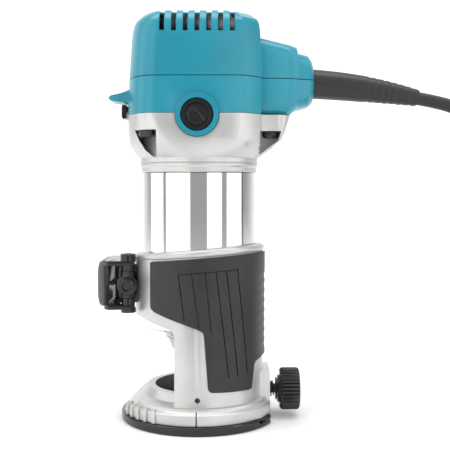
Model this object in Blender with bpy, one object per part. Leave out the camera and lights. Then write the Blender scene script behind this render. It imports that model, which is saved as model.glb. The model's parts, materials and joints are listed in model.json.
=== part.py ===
"""A trim router with its base: a motor that slides up and down in a clamping aluminium base.

Pieces are drawn in millimetres about the spindle's axis, with Z = 0 at the sole, and become metres
in finish(). The whole is shifted so that the origin lies under the middle of the tool without its
cord. +X is the cord's side and the viewer stands at -Y.
"""

import math

import bmesh
import bpy
from mathutils import Matrix, Vector

MM = 0.001
GAP = 0.3  # between pieces that touch

# Driving dimensions
DRUM_R = 32.5  # the 65 mm motor that this class of router shares
SOLE_R = 44.7
GUIDE_FACE_X = 40.2  # the flat side of the base
HOUSING_END_X = 64.4  # end of the cord outlet
PADDLE_X = -57.3  # outside of the lock lever
AXIS_X = -(HOUSING_END_X + PADDLE_X) / 2  # spindle axis in the part's own frame

SUB_BASE_TOP = 4.6
CASTING_BOTTOM = SUB_BASE_TOP + GAP
COLLAR_TOP = 96.9  # on the axis
COLLAR_TILT_X = 0.078  # the collar's rim climbs towards +X
COLLAR_TILT_Y = -0.036  # and towards the viewer
BORE_R = DRUM_R + GAP
COLUMN_R = 36.4
WINDOW_X = -12.5  # the base is open on the -X side of this plane
DRUM_BOTTOM = 52.5
DRUM_TOP = 142.4
FLANGE_TOP = 171.0
PARTING_Z = 190.8
COVER_TOP = 227.5
SHELL_WALL = 2.5
BRUSH_Z = 170.1
SPINDLE_NOSE_Z = 25.5

LEVER_PIVOT = (-39.2, -15.0)
CLAMP_Z = 77.4
KNOB_Z = 15.1
RACK_MODULE = 0.8
PINION_TEETH = 10
PINION_Y = 35.5
PINION_Z = 78.0
CORD_Z = 190.0

ROUND = 36
MIDDLE = 16
SMALL = 8

bpy.context.preferences.edit.use_global_undo = False
for old in list(bpy.data.objects):
    bpy.data.objects.remove(old)


# ---------------------------------------------------------------- materials


def material(name, colour, roughness, metallic=0.0):
    made = bpy.data.materials.new(name)
    made.use_nodes = True
    shader = made.node_tree.nodes["Principled BSDF"]
    shader.inputs["Base Color"].default_value = (*colour, 1)
    shader.inputs["Roughness"].default_value = roughness
    shader.inputs["Metallic"].default_value = metallic
    return made


MATERIALS = {
    "cast": material("cast", (0.78, 0.78, 0.77), 0.45, 0.6),
    "polished": material("polished", (0.86, 0.86, 0.87), 0.18, 1.0),
    "steel": material("steel", (0.55, 0.55, 0.56), 0.3, 1.0),
    "black_steel": material("black_steel", (0.05, 0.05, 0.055), 0.4, 0.8),
    "shell": material("shell", (0.02, 0.42, 0.5), 0.45),
    "black": material("black", (0.02, 0.02, 0.022), 0.4),
    "grey": material("grey", (0.2, 0.2, 0.2), 0.5),
    "grip": material("grip", (0.045, 0.045, 0.05), 0.7),
    "rubber": material("rubber", (0.02, 0.02, 0.02), 0.6),
    "copper": material("copper", (0.72, 0.36, 0.18), 0.3, 1.0),
    "brass": material("brass", (0.75, 0.6, 0.3), 0.3, 1.0),
    "carbon": material("carbon", (0.03, 0.03, 0.03), 0.8),
    "lamination": material("lamination", (0.3, 0.3, 0.32), 0.5, 0.9),
    "board": material("board", (0.02, 0.18, 0.06), 0.5),
    "baffle": material("baffle", (0.1, 0.1, 0.1), 0.5),
}


# ---------------------------------------------------------------- solids


def solid(name, points, faces):
    """A mesh object from points in millimetres, with its faces turned outwards."""
    mesh = bpy.data.meshes.new(name)
    mesh.from_pydata([Vector(p) for p in points], [], faces)
    work = bmesh.new()
    work.from_mesh(mesh)
    bmesh.ops.recalc_face_normals(work, faces=work.faces)
    work.to_mesh(mesh)
    work.free()
    made = bpy.data.objects.new(name, mesh)
    bpy.context.scene.collection.objects.link(made)
    return made


def turned_to(axis, radial, around, along):
    """A point on a turned piece whose axis is X, Y or Z."""
    a, b = radial * math.cos(around), radial * math.sin(around)
    return {"X": (along, a, b), "Y": (b, along, a), "Z": (a, b, along)}[axis]


def turned(name, profile, steps=ROUND, axis="Z", centre=(0, 0, 0), turn=0.0):
    """A closed (radius, height) outline turned about an axis. Two points on the axis cap it."""
    points, rings = [], []
    for radius, along in profile:
        count = 1 if radius == 0 else steps
        rings.append(list(range(len(points), len(points) + count)))
        for i in range(count):
            place = turned_to(axis, radius, turn + math.tau * i / steps, along)
            points.append([p + c for p, c in zip(place, centre)])
    faces = []
    for k, ring in enumerate(rings):
        other = rings[(k + 1) % len(rings)]
        if len(ring) == len(other) == 1:
            continue
        for i in range(steps):
            j = (i + 1) % steps
            corners = [
                ring[i % len(ring)], ring[j % len(ring)], other[j % len(other)], other[i % len(other)]
            ]
            faces.append(list(dict.fromkeys(corners)))
    return solid(name, points, faces)


def rod(name, radius, low, high, axis="Z", centre=(0, 0, 0), steps=MIDDLE, turn=0.0):
    return turned(name, [(0, low), (radius, low), (radius, high), (0, high)], steps, axis, centre, turn)


def ring(name, inner, outer, low, high, axis="Z", centre=(0, 0, 0), steps=ROUND):
    outline = [(inner, low), (outer, low), (outer, high), (inner, high)]
    return turned(name, outline, steps, axis, centre)


def loft(name, loops):
    """Loops of the same number of points, joined in order and capped at both ends."""
    points = [p for loop in loops for p in loop]
    n = len(loops[0])
    faces = [list(range(n)), [(len(loops) - 1) * n + i for i in range(n)]]
    for k in range(len(loops) - 1):
        for i in range(n):
            j = (i + 1) % n
            faces.append([k * n + i, k * n + j, (k + 1) * n + j, (k + 1) * n + i])
    return solid(name, points, faces)


def block(name, low, high):
    (x0, y0, z0), (x1, y1, z1) = low, high
    floor = [(x0, y0), (x1, y0), (x1, y1), (x0, y1)]
    return loft(name, [[(x, y, z) for x, y in floor] for z in (z0, z1)])


def prism(name, outline, low, high, axis="Z"):
    """An outline pulled along an axis. The outline's two numbers are the other two axes in order."""
    def place(a, b, h):
        return {"X": (h, a, b), "Y": (a, h, b), "Z": (a, b, h)}[axis]

    return loft(name, [[place(a, b, h) for a, b in outline] for h in (low, high)])


def moved(piece, matrix):
    piece.data.transform(matrix)
    return piece


def shifted(piece, x=0.0, y=0.0, z=0.0):
    return moved(piece, Matrix.Translation((x, y, z)))


def rotated(piece, degrees, axis="Z"):
    return moved(piece, Matrix.Rotation(math.radians(degrees), 4, axis))


def boolean(piece, tools, operation):
    """Applies one Boolean for each tool, and removes the tools."""
    for tool in tools:
        step = piece.modifiers.new("boolean", "BOOLEAN")
        step.operation = operation
        step.solver = "EXACT"
        step.object = tool
        graph = bpy.context.evaluated_depsgraph_get()
        mesh = bpy.data.meshes.new_from_object(piece.evaluated_get(graph))
        piece.modifiers.clear()
        piece.data = mesh
        bpy.data.objects.remove(tool)
        work = bmesh.new()
        work.from_mesh(mesh)
        bmesh.ops.remove_doubles(work, verts=work.verts, dist=0.002)
        bmesh.ops.dissolve_degenerate(work, edges=work.edges, dist=0.002)
        work.to_mesh(mesh)
        work.free()
    return piece


def cut(piece, *tools):
    return boolean(piece, tools, "DIFFERENCE")


def fused(piece, *tools):
    return boolean(piece, tools, "UNION")


def kept(piece, *tools):
    return boolean(piece, tools, "INTERSECT")


def grouped(name, pieces):
    """Separate solids that share one object."""
    work = bmesh.new()
    for piece in pieces:
        work.from_mesh(piece.data)
        bpy.data.objects.remove(piece)
    mesh = bpy.data.meshes.new(name)
    work.to_mesh(mesh)
    work.free()
    made = bpy.data.objects.new(name, mesh)
    bpy.context.scene.collection.objects.link(made)
    return made


def arc(centre, radius, start, end, count):
    """Points on an arc, in degrees, both ends included."""
    a, b = math.radians(start), math.radians(end)
    steps = [a + (b - a) * i / (count - 1) for i in range(count)]
    return [(centre[0] + radius * math.cos(t), centre[1] + radius * math.sin(t)) for t in steps]


def rounded_box(left, right, half, round_left, round_right, count=4):
    """A box seen from above, its corners rounded by one radius at -X and another at +X."""
    return (
        arc((right - round_right, half - round_right), round_right, 0, 90, count)
        + arc((-left + round_left, half - round_left), round_left, 90, 180, count)
        + arc((-left + round_left, -half + round_left), round_left, 180, 270, count)
        + arc((right - round_right, -half + round_right), round_right, 270, 360, count)
    )


def shell_outline(left, right, half, nose, corner, facet):
    """A housing seen from above: half an ellipse at -X, and corners at +X from round (0) to faceted (1)."""
    flat = [(0, 10.4), (4.4, 5.6), (8.8, 0.9), (10.4, 0.45), (12, 0)]
    bent = arc((right - corner, half - corner), corner, 0, 90, len(flat))
    side = [
        (x + (right - a - x) * facet, y + (half - b - y) * facet) for (x, y), (a, b) in zip(bent, flat)
    ]
    steps = [math.pi * i / 14 for i in range(15)]
    bow = [(-left + nose - nose * math.sin(t), half * math.cos(t)) for t in steps]
    return side + bow + [(x, -y) for x, y in reversed(side)]


def sector(name, inner, outer, start, end, low, high, count=6):
    outline = arc((0, 0), outer, start, end, count) + arc((0, 0), inner, end, start, count)
    return prism(name, outline, low, high)


def wrapped(name, outline, inner, outer, turn_step=10.0):
    """A plate bent round the spindle axis. Its outline is (degrees from the front towards +X, height)."""
    work = bmesh.new()
    face = work.faces.new([work.verts.new((a, 0, z)) for a, z in outline])
    first = math.ceil(min(a for a, _ in outline) / turn_step) * turn_step
    at = first
    while at < max(a for a, _ in outline):
        geometry = work.verts[:] + work.edges[:] + work.faces[:]
        bmesh.ops.bisect_plane(work, geom=geometry, plane_co=(at, 0, 0), plane_no=(1, 0, 0), dist=1e-6)
        at += turn_step
    made = bmesh.ops.extrude_face_region(work, geom=work.faces[:])
    for item in made["geom"]:
        if isinstance(item, bmesh.types.BMVert):
            item.co.y = 1.0
    for vert in work.verts:
        angle, radius, height = math.radians(vert.co.x), outer if vert.co.y > 0.5 else inner, vert.co.z
        vert.co = Vector((radius * math.sin(angle), -radius * math.cos(angle), height))
    bmesh.ops.recalc_face_normals(work, faces=work.faces)
    mesh = bpy.data.meshes.new(name)
    work.to_mesh(mesh)
    work.free()
    piece = bpy.data.objects.new(name, mesh)
    bpy.context.scene.collection.objects.link(piece)
    return piece


def coil(name, radius, wire, low, high, turns, axis, centre, end_radius=None):
    """A round-wire spring as one solid, conical when it ends on another radius."""
    per_turn = 8
    end_radius = end_radius or radius
    count = int(turns * per_turn)
    loops = []
    for i in range(count + 1):
        around = math.tau * i / per_turn
        along = low + wire + (high - low - 2 * wire) * i / count
        middle = radius + (end_radius - radius) * i / count
        loop = []
        for k in range(4):
            t = math.tau * k / 4
            place = turned_to(axis, middle + wire * math.cos(t), around, along + wire * math.sin(t))
            loop.append([p + c for p, c in zip(place, centre)])
        loops.append(loop)
    return loft(name, loops)


# ---------------------------------------------------------------- placing

ROUTER = bpy.data.objects.new("motor", None)
ROUTER.location = (AXIS_X * MM, 0, 0)
bpy.context.scene.collection.objects.link(ROUTER)


def pivot(name, place, parent=None):
    """An empty on a joint's axis. place is from the spindle axis and the sole."""
    parent = parent or ROUTER
    empty = bpy.data.objects.new(name, None)
    bpy.context.scene.collection.objects.link(empty)
    empty.parent = parent
    empty.location = Vector(place) * MM - Vector(parent.get("place", (0, 0, 0)))
    empty["place"] = list(Vector(place) * MM)
    return empty


def finish(piece, name, look, body):
    """Names and colours a piece and hangs it on its body, with its origin on the body's joint axis."""
    piece.name = name
    piece.data.name = name
    piece.data.materials.clear()
    piece.data.materials.append(MATERIALS[look])
    piece.parent = body
    if piece.type == "MESH":
        away = Matrix.Translation(-Vector(body.get("place", (0, 0, 0))))
        piece.data.transform(away @ Matrix.Scale(MM, 4))
        piece.data.shade_smooth()
        piece.data.set_sharp_from_angle(angle=math.radians(32))
    return piece


def fluted(name, outline_radius, depth, teeth, low, high, axis, centre, edge=1.0):
    """A knob's gripping rim: a turned blank with rounded flutes."""
    loops = []
    for along, shrink in ((low, edge), (low + edge, 0), (high - edge, 0), (high, edge)):
        loop = []
        for i in range(teeth * 2):
            radius = outline_radius - shrink - (depth if i % 2 else 0)
            place = turned_to(axis, radius, math.pi * i / teeth, along)
            loop.append([p + c for p, c in zip(place, centre)])
        loops.append(loop)
    return loft(name, loops)


# ---------------------------------------------------------------- the base


def pad_outline(margin=0.0):
    """The grip pad in (degrees, height), grown by a margin in millimetres."""
    turn = math.degrees(margin / COLUMN_R)

    def rim(angle):
        a = math.radians(angle)
        x, y = COLUMN_R * math.sin(a), -COLUMN_R * math.cos(a)
        return COLLAR_TOP - 5.0 + COLLAR_TILT_X * x + COLLAR_TILT_Y * y + margin

    top = [(a, rim(a)) for a in range(156, -43, -12)]
    return [
        (164 + turn, 21.5 - margin),
        (164 + turn, rim(164)),
        *top,
        (-43.5 - turn, rim(-43.5)),
        (-43.5 - turn, 66.5 - margin),
        (-39 - turn, 64.2 - margin),
        (1 - turn, 55.6 - margin),
        (5 - turn, 54.0 - margin),
        (6.5 - turn, 51.0 - margin),
        (9.5 - turn, 24.0 - margin),
        (12 - turn, 21.5 - margin),
        (52 + turn, 20.5 - margin),
        (56 + turn, 34.5 - margin),
        (72, 37.0 - margin),
        (108, 37.0 - margin),
        (124 - turn, 34.5 - margin),
        (128 - turn, 21.5 - margin),
    ]


def slant(piece):
    """Tilts a piece made about the origin to the collar's rim, and lifts it there."""
    across = Matrix.Rotation(-math.atan(COLLAR_TILT_X), 4, "Y")
    tilt = across @ Matrix.Rotation(math.atan(COLLAR_TILT_Y), 4, "X")
    return moved(piece, Matrix.Translation((0, 0, COLLAR_TOP)) @ tilt)


SOLE_SCREWS = [(25.5 * a, 25.5 * b) for a in (-1, 1) for b in (-1, 1)]


def make_base_casting():
    flange = [(25.5, CASTING_BOTTOM), (43, CASTING_BOTTOM), (43, 10), (41.4, 11.2), (40, 13.2)]
    flange = turned("flange", [*flange, (33.4, 13.2), (30.4, 15.3), (29.2, 20), (25.5, 20)])
    column = turned(
        "column",
        [(28, 11), (COLUMN_R, 11), (COLUMN_R, 112), (BORE_R - 2, 112), (BORE_R - 2, 17.4), (28, 17.4)]
    )
    window = prism(
        "window",
        [(-60, 0), (WINDOW_X, 0)] + arc((WINDOW_X - 4, 51.2), 4, 0, 76, 5) + [(-32, 59.6), (-60, 60)],
        -60,
        60,
        "Y",
    )
    over = slant(block("over", (-80, -80, -1.0), (80, 80, 60)))
    column = cut(column, window, over)
    bead = [(BORE_R - 1, -4.5), (36.6, -4.5), (37.2, -3.6), (37.2, -1.2), (36.4, -0.3), (35.4, 0)]
    bead = slant(turned("bead", [*bead, (BORE_R - 1, 0)]))
    guide_block = block("guide_block", (29, -12, 6), (GUIDE_FACE_X + 5, 12, 27.8))
    lugs = block("lugs", (-45, -9.5, 67.5), (-33.5, 9.5, 87.3))
    boss = rod("boss", 8.0, -20, 5, "X", (0, PINION_Y, PINION_Z))
    casting = fused(flange, column, bead, guide_block, lugs, boss)
    bore = rod("bore", BORE_R, 18.8, 130, steps=ROUND)
    slit = block("slit", (-60, -1, 45), (-28, 1, 120))
    side = block("side", (GUIDE_FACE_X, -60, -5), (90, 60, 60))
    slope = prism("slope", [(-60, -10.4), (-30.3, 15.3), (-30.3, 40), (-60, 40)], -60, 60, "Y")
    slope = kept(slope, block("lower", (-70, -70, 0), (0, 70, 30)))
    recess = wrapped("recess", pad_outline(GAP), 35.2, 44)
    stud_hole = rod("stud_hole", 3.1, 33.8, 60, "X", (0, 0, KNOB_Z), SMALL)
    spring_seat = rod("spring_seat", 6.3, 38.2, 60, "X", (0, 0, KNOB_Z), MIDDLE)
    bolt_hole = rod("bolt_hole", 2.8, -30, 30, "Y", (LEVER_PIVOT[0], 0, CLAMP_Z), SMALL)
    pinion_hole = rod("pinion_hole", 5.15, -40, 3.6, "X", (0, PINION_Y, PINION_Z))
    screw_holes = [rod("screw_hole", 2.2, 0, 11.4, "Z", (x, y, 0), SMALL) for x, y in SOLE_SCREWS]
    peep_hole = rod("peep_hole", 1.5, -50, -20, "Y", (0, 0, 16.5), SMALL)
    return cut(
        casting, bore, slit, side, slope, recess, stud_hole, spring_seat, bolt_hole, pinion_hole,
        peep_hole, *screw_holes
    )


def make_sub_base():
    plate = turned(
        "plate", [(15, 0), (SOLE_R - 0.6, 0), (SOLE_R, 0.6), (SOLE_R, SUB_BASE_TOP), (15, SUB_BASE_TOP)]
    )
    holes = [rod("hole", 2.2, -1, 9, "Z", (x, y, 0), SMALL) for x, y in SOLE_SCREWS]
    sinks = [rod("sink", 4.1, -1, 3.2, "Z", (x, y, 0), SMALL) for x, y in SOLE_SCREWS]
    return cut(plate, block("side", (GUIDE_FACE_X, -60, -5), (90, 60, 60)), *sinks, *holes)


def make_sole_screws(body):
    outline = [(0, 0.7), (3.7, 0.7), (3.7, 1.4), (1.9, 2.9), (1.9, 11), (0, 11)]
    for i, (x, y) in enumerate(SOLE_SCREWS, 1):
        finish(turned("screw", outline, SMALL, "Z", (x, y, 0)), f"sole_screw_{i}", "steel", body)


def make_base(body):
    finish(make_base_casting(), "base_casting", "cast", body)
    finish(make_sub_base(), "sub_base", "black", body)
    make_sole_screws(body)
    finish(wrapped("pad", pad_outline(), 35.5, 37.7), "grip_pad", "grip", body)


def make_clamp(body, lever):
    x, y = LEVER_PIVOT
    shank = rod("shank", 2.5, -22.4, 10.5, "Y", (x, 0, CLAMP_Z), SMALL)
    head = rod("head", 4.6, 9.8, 13.4, "Y", (x, 0, CLAMP_Z), 6)
    finish(fused(shank, head), "clamp_bolt", "black_steel", body)
    nut = [(2.8, -20.6), (6.5, -20.6), (6.5, -19.4), (2.8, -19.4)]
    nut = fused(
        turned("flange", nut, MIDDLE, "Y", (x, 0, CLAMP_Z)),
        ring("body", 3.2, 4.3, -23.6, -20.2, "Y", (x, 0, CLAMP_Z), 6),
    )
    finish(nut, "clamp_nut", "black_steel", body)
    pin = turned(
        "pin",
        [(0, 62.2), (2.2, 62.2), (2.2, 70.2), (4, 70.2), (4, 84.6), (2.2, 84.6), (2.2, 94.3), (0, 94.3)],
        MIDDLE, "Z", (x, y, 0)
    )
    pin = cut(pin, rod("hole", 2.8, -30, 0, "Y", (x, 0, CLAMP_Z), SMALL))
    finish(pin, "lever_pin", "black_steel", body)

    wall = [
        (-52.4, -17), (-50, -20), (-37.5, -19.2), (-35.3, -16.9), (-36.7, -12.5), (-39.6, -9), (-43, -2),
        (-47.5, 8), (-47.5, 18), (-52.4, 18)
    ]
    outer = block("outer", (-52.4, -17, 63.7), (-49.9, 18, 90.7))
    top, low = prism("top", wall, 88.2, 90.7), prism("low", wall, 63.7, 66.2)
    ears = [rod("ear", 4.2, a, b, "Z", (x, y, 0)) for a, b in ((61.8, 64.5), (90.0, 94.6))]
    cams = [rod("cam", 3.7, a, b, "Z", (x, y, 0)) for a, b in ((65.5, 69.8), (85.0, 89.0))]
    back = block("back", (-51, 15.6, 64.5), (-47.5, 18, 90.0))
    handle = fused(outer, top, low, *ears, *cams, back)
    handle = cut(handle, rod("hole", 2.5, 50, 110, "Z", (x, y, 0)))
    finish(handle, "lock_lever", "black", lever)
    profile = [(-12, 64.5), (20, 64.5), (22, 67), (22, 87.5), (20, 90), (-12, 90), (-14, 87), (-14, 67.5)]
    inner = [(-52.7, a, b) for a, b in profile]
    rim = [(-55.6, a * 0.97 + 0.1, (b - 77.3) * 0.95 + 77.3) for a, b in profile]
    face = [(PADDLE_X, a * 0.7 + 1, (b - 77.3) * 0.66 + 77.3) for a, b in profile]
    finish(loft("paddle", [inner, rim, face]), "lever_paddle", "grey", lever)


def make_guide_clamp(body, washer_body, knob_body):
    centre = (0, 0, KNOB_Z)
    spring = coil("spring", 5.2, 0.4, 38.6, 43.6, 3, "X", centre, 3.75)
    finish(spring, "guide_spring", "black_steel", body)
    finish(
        ring("washer", 3.1, 6.4, 43.9, 44.7, "X", centre, MIDDLE), "guide_washer", "black_steel",
        washer_body
    )
    stud = rod("stud", 2.8, 34.6, 52, "X", centre, SMALL)
    finish(stud, "guide_stud", "black_steel", knob_body)
    knob = fused(
        fluted("rim", 12.05, 0.7, 24, 46.2, 57.7, "X", centre),
        turned("hub", [(0, 45.0), (7.9, 45.0), (7.9, 47), (0, 47)], MIDDLE, "X", centre),
    )
    knob = cut(knob, rod("socket", 3.1, 40, 52.3, "X", centre, SMALL))
    finish(knob, "guide_knob", "black", knob_body)


def involute_tooth(base, tip, root, half_angle, count=4):
    """One side of a gear tooth from root to tip, as (radius, angle) pairs."""
    start = max(base, root)
    points = [(root, half_angle)]
    for i in range(count):
        radius = start + (tip - start) * i / (count - 1)
        t = math.sqrt(max((radius / base) ** 2 - 1, 0))
        points.append((radius, half_angle - (t - math.atan(t))))
    return points


def make_pinion(body):
    """The depth pinion: a ten-tooth gear, its journal in the casting and its knob at the -X end."""
    pitch = RACK_MODULE * PINION_TEETH / 2
    base = pitch * math.cos(math.radians(20))
    t = math.tan(math.radians(20))
    backlash = 0.16
    half = math.pi / 2 / PINION_TEETH + (t - math.atan(t)) - backlash / pitch
    side = involute_tooth(base, pitch + 0.75, pitch - 0.95, half)
    outline = []
    for i in range(PINION_TEETH):
        centre = -math.pi / 2 + math.tau * i / PINION_TEETH
        tooth = [(r, centre - a) for r, a in side] + [(r, centre + a) for r, a in reversed(side)]
        outline += [(PINION_Y + r * math.sin(-a), PINION_Z + r * math.cos(a)) for r, a in tooth]
    gear = prism("gear", outline, -4.0, 3.2, "X")
    centre = (0, PINION_Y, PINION_Z)
    journal = [(0, -32), (3, -32), (3, -20.5), (4.7, -20.5), (4.7, -12.5), (2.8, -12.5), (2.8, -3), (0, -3)]
    journal = turned("journal", journal, MIDDLE, "X", centre)
    finish(fused(journal, gear), "depth_pinion", "steel", body)
    knob = fluted("knob", 9.0, 0.6, 16, -32.5, -24, "X", centre, 0.8)
    knob = cut(knob, rod("socket", 3.3, -32.3, -20, "X", centre, MIDDLE))
    finish(knob, "depth_knob", "black", body)


# ---------------------------------------------------------------- the motor's housings


def sections(rows, outline, inset=0.0):
    """Loops for a housing: each row is a height, the five sizes of its outline and anything unchanged."""
    loops = []
    for z, *sizes in rows:
        shrunk = [size - inset for size in sizes[:5]]
        loops.append([(x, y, z) for x, y in outline(*shrunk, *sizes[5:])])
    return loops


BRACKET = [
    (145.8, 32.4, 32.4, 32.4, 32.4, 32.4, 0),
    (147.3, 33.0, 33.0, 33.0, 33.0, 33.0, 0),
    (149.4, 35.4, 33.9, 34.2, 31, 30, 0.15),
    (154.7, 38.6, 34.7, 35.2, 26, 23, 0.5),
    (157.4, 39.5, 34.8, 35.4, 24, 20, 0.7),
    (163.3, 39.8, 34.7, 35.4, 20, 15, 1),
    (FLANGE_TOP, 40.0, 34.5, 35.2, 17.1, 12.5, 1),
]
EAR = [
    (147.8, 20, 33.6, 13, 2, 4),
    (151.5, 20, 38.9, 17, 2, 4),
    (157.4, 20, 45.8, 20, 2, 4),
    (161.4, 20, 47.6, 20.5, 2, 4),
    (FLANGE_TOP, 20, 50.7, 21, 2, 8),
]
COVER = [
    (PARTING_Z - 21, 40.0, 34.5, 35, 17.1, 12.5, 1),
    (PARTING_Z, 39.2, 34.5, 35, 17.1, 12.5, 1),
    (200.7, 38.5, 34.4, 34.6, 16.8, 12.5, 1),
    (213.5, 37.6, 34.0, 33.8, 16.4, 12.5, 1),
    (219.5, 36.8, 33.4, 32.8, 16, 12.5, 1),
    (222.3, 35.6, 32.4, 31.2, 15.5, 12.5, 1),
    (225.6, 32.0, 28.8, 27.4, 14, 12.5, 1),
    (227.0, 28.8, 26.2, 24.6, 12.5, 12.5, 1),
    (COVER_TOP, 26.0, 23.6, 22.0, 11, 12.5, 1),
]
# Outlines, seen from the front, of the pockets round the housing screws
LEFT_POCKET = [(-21.7, 147.8), (-24.1, 148.1), (-28.4, 151.6), (-31.7, 157), (-34.0, 162.3), (-21.7, 162.3)]
RIGHT_POCKET = [(33.8, 149.6), (35, 150.3), (44.0, 157.0), (45.6, 162.3), (33.8, 162.3)]
# The cord outlet's cross-sections: (x, low, high, half depth, corner radius)
OUTLET = [
    (28, 170.0, 215.0, 21.5, 8),
    (35.5, 170.0, 213.5, 21.2, 8),
    (48.5, 170.0, 210.4, 20.6, 8),
    (50.9, 171.6, 209.9, 19.8, 8),
    (54.4, 175.0, 209.0, 17.8, 8),
    (55.6, 175.3, 205.9, 16.6, 8),
    (61.1, 176.5, 204.9, 14.8, 9),
    (63.5, 178.4, 202.4, 12.4, 10),
    (HOUSING_END_X, 180.2, 200.2, 10.1, 9.6),
]
SHELL_SCREWS = [(-27.5, 26.5), (-27.5, -26.5), (40, 13.5), (40, -13.5)]


def outlet_loops(inset=0.0, end=None):
    loops = []
    for x, low, high, half, corner in OUTLET:
        if end is not None and x > end:
            break
        middle, tall = (low + high) / 2, (high - low) / 2
        outline = rounded_box(half - inset, half - inset, tall - inset, corner - inset, corner - inset, 5)
        loops.append([(x, a, middle + b) for a, b in outline])
    return loops


def housing_shell(low, high):
    """The hollow teal housing between two heights, with its cord outlet."""
    body = fused(loft("main", sections(COVER, shell_outline)), loft("outlet", outlet_loops()))
    hollow_rows = [(PARTING_Z - 30, *COVER[0][1:]), *COVER[1:6], (COVER_TOP - SHELL_WALL, *COVER[6][1:])]
    hollow = fused(
        loft("hollow", sections(hollow_rows, shell_outline, SHELL_WALL)), loft("throat", outlet_loops(SHELL_WALL, 61.5))
    )
    body = cut(body, hollow, rod("cord_hole", 8.7, 55, 70, "X", (0, 0, CORD_Z)))
    return kept(body, block("between", (-90, -90, low), (120, 90, high)))


def make_motor_housing():
    drum = turned(
        "drum",
        [
            (9.2, 38.2), (14.6, 38.2), (15.4, 39), (18.8, 44.6), (22.2, 50), (24.4, 51.4),
            (24.4, DRUM_BOTTOM),
            (31.7, DRUM_BOTTOM), (DRUM_R, 53.3), (DRUM_R, DRUM_TOP), (33.4, 143.3), (33.4, 149),
            (28.6, 149), (28.6, 56), (14.25, 56), (14.25, 44.2), (9.2, 44.2),
        ],
    )
    body, ear = sections(BRACKET, shell_outline), sections(EAR, rounded_box)
    bracket = fused(loft("bracket", body), loft("ear", ear))
    left = [prism("a", LEFT_POCKET, low, high, "Y") for low, high in ((-60, -8), (8, 60))]
    right = [prism("a", RIGHT_POCKET, low, high, "Y") for low, high in ((-60, -6), (6, 60))]
    left_pocket, right_pocket = grouped("pocket", left), grouped("pocket", right)
    core = rod("core", 33.2, 130, 170, steps=ROUND)
    left_pocket = cut(left_pocket, core)
    right_pocket = cut(right_pocket, rod("core", 33.2, 130, 170, steps=ROUND))
    bracket = cut(bracket, left_pocket, right_pocket)
    bracket = cut(bracket, rod("bore", 28.6, 120, 200, steps=ROUND))
    housing = fused(drum, bracket)
    tools = [rod("hole", 2.3, 150, 180, "Z", (x, y, 0), SMALL) for x, y in SHELL_SCREWS]
    for side in (-1, 1):
        low, high = sorted((side * 29.9, side * 60))
        tools.append(rod("lobe", 11.7, low, high, "Y", (0, 0, BRUSH_Z)))
        low, high = sorted((side * 20, side * 40))
        tools.append(rod("holder", 6.2, low, high, "Y", (0, 0, BRUSH_Z)))
    tools.append(block("rack_flat", (-4.4, 31.95, 68), (4.4, 40, 121)))
    pitch = math.pi * RACK_MODULE
    for i in range(20):
        z = PINION_Z + (i - 3) * pitch
        slot = [(34, z - 1.51), (34, z + 1.51), (30.5, z + 0.28), (30.5, z - 0.28)]
        tools.append(prism("rack_slot", slot, -4.4, 4.4, "X"))
    for i in range(6):
        vent = sector("vent", 24.9, 27.9, 60 * i + 10, 60 * i + 50, 50, 58, 3)
        tools.append(vent)
    for radius, start in ((1.85, 5), (2.8, 13.3), (3.75, 16.3)):
        tools.append(rotated(rod("lock_hole", radius, start, 30, "X", (0, 0, 41.2), SMALL), LOCK_TURN))
    return cut(housing, *tools)


LOCK_TURN = 122.0


def make_housing_body():
    shell = housing_shell(FLANGE_TOP + GAP, PARTING_Z - GAP / 2)
    hood = prism(
        "hood",
        [(-37.8, 186.4), (-40.2, 185.0), (-43.5, 183.9), (-49.0, 182.7), (-50.0, 181.8), (-50.0, 180.6),
         (-49.2, 179.9), (-43, 178.9), (-37.8, 178.2)],
        -10.5, 10.5, "Y"
    )
    shell = fused(shell, hood)
    for side in (-1, 1):
        low, high = sorted((side * 30.2, side * 37.4))
        shell = fused(shell, rod("lobe", 11.4, low, high, "Y", (0, 0, BRUSH_Z)))
    posts = [rod("post", 4.4, FLANGE_TOP + GAP, 187, "Z", (x, y, 0), SMALL) for x, y in SHELL_SCREWS]
    for x, y in SHELL_SCREWS:
        side = math.copysign(1, y)
        x, y, radius = (x - 1, y + 2.2 * side, 4.0) if x < 0 else (x, y + 3 * side, 3.0)
        posts.append(rod("web", radius, FLANGE_TOP + GAP, 187, "Z", (x, y, 0), SMALL))
    shell = fused(shell, *posts)
    tools = [rod("hole", 2.3, 160, 185, "Z", (x, y, 0), SMALL) for x, y in SHELL_SCREWS]
    for side in (-1, 1):
        low, high = sorted((side * 34.4, side * 50))
        tools.append(rod("seat", 8.8, low, high, "Y", (0, 0, BRUSH_Z)))
        low, high = sorted((side * 20, side * 50))
        tools.append(rod("holder", 6.2, low, high, "Y", (0, 0, BRUSH_Z)))
    tools.append(block("switch_hole", (-60, -6.1, 172.3), (-36, 6.1, 178.0)))
    return cut(shell, *tools)


VENT_PITCH = 6.22


def make_top_cover():
    shell = housing_shell(PARTING_Z + GAP / 2, COVER_TOP + 5)
    tools = []
    for i in range(-3, 4):
        x = i * VENT_PITCH
        tools.append(block("vent", (x - 1.35, -50, 214.3), (x + 1.35, -20, 240)))
        tools.append(block("vent", (x - 1.35, 20, 207.5), (x + 1.35, 50, 220)))
    tools.append(block("vent_step", (-25.4, -40, 226.4), (23.4, -15, 235)))
    tools.append(block("dial_slot", (-21, 24, 199.8), (-3, 50, 206.2)))
    return cut(shell, *tools)


def make_shell_screws(body):
    outline = [(0, 158.6), (3.6, 158.6), (4.5, 160), (4.5, 162.0), (2, 162.0), (2, 184), (0, 184)]
    for i, (x, y) in enumerate(SHELL_SCREWS, 1):
        finish(turned("screw", outline, SMALL, "Z", (x, y, 0)), f"housing_screw_{i}", "black_steel", body)


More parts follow.
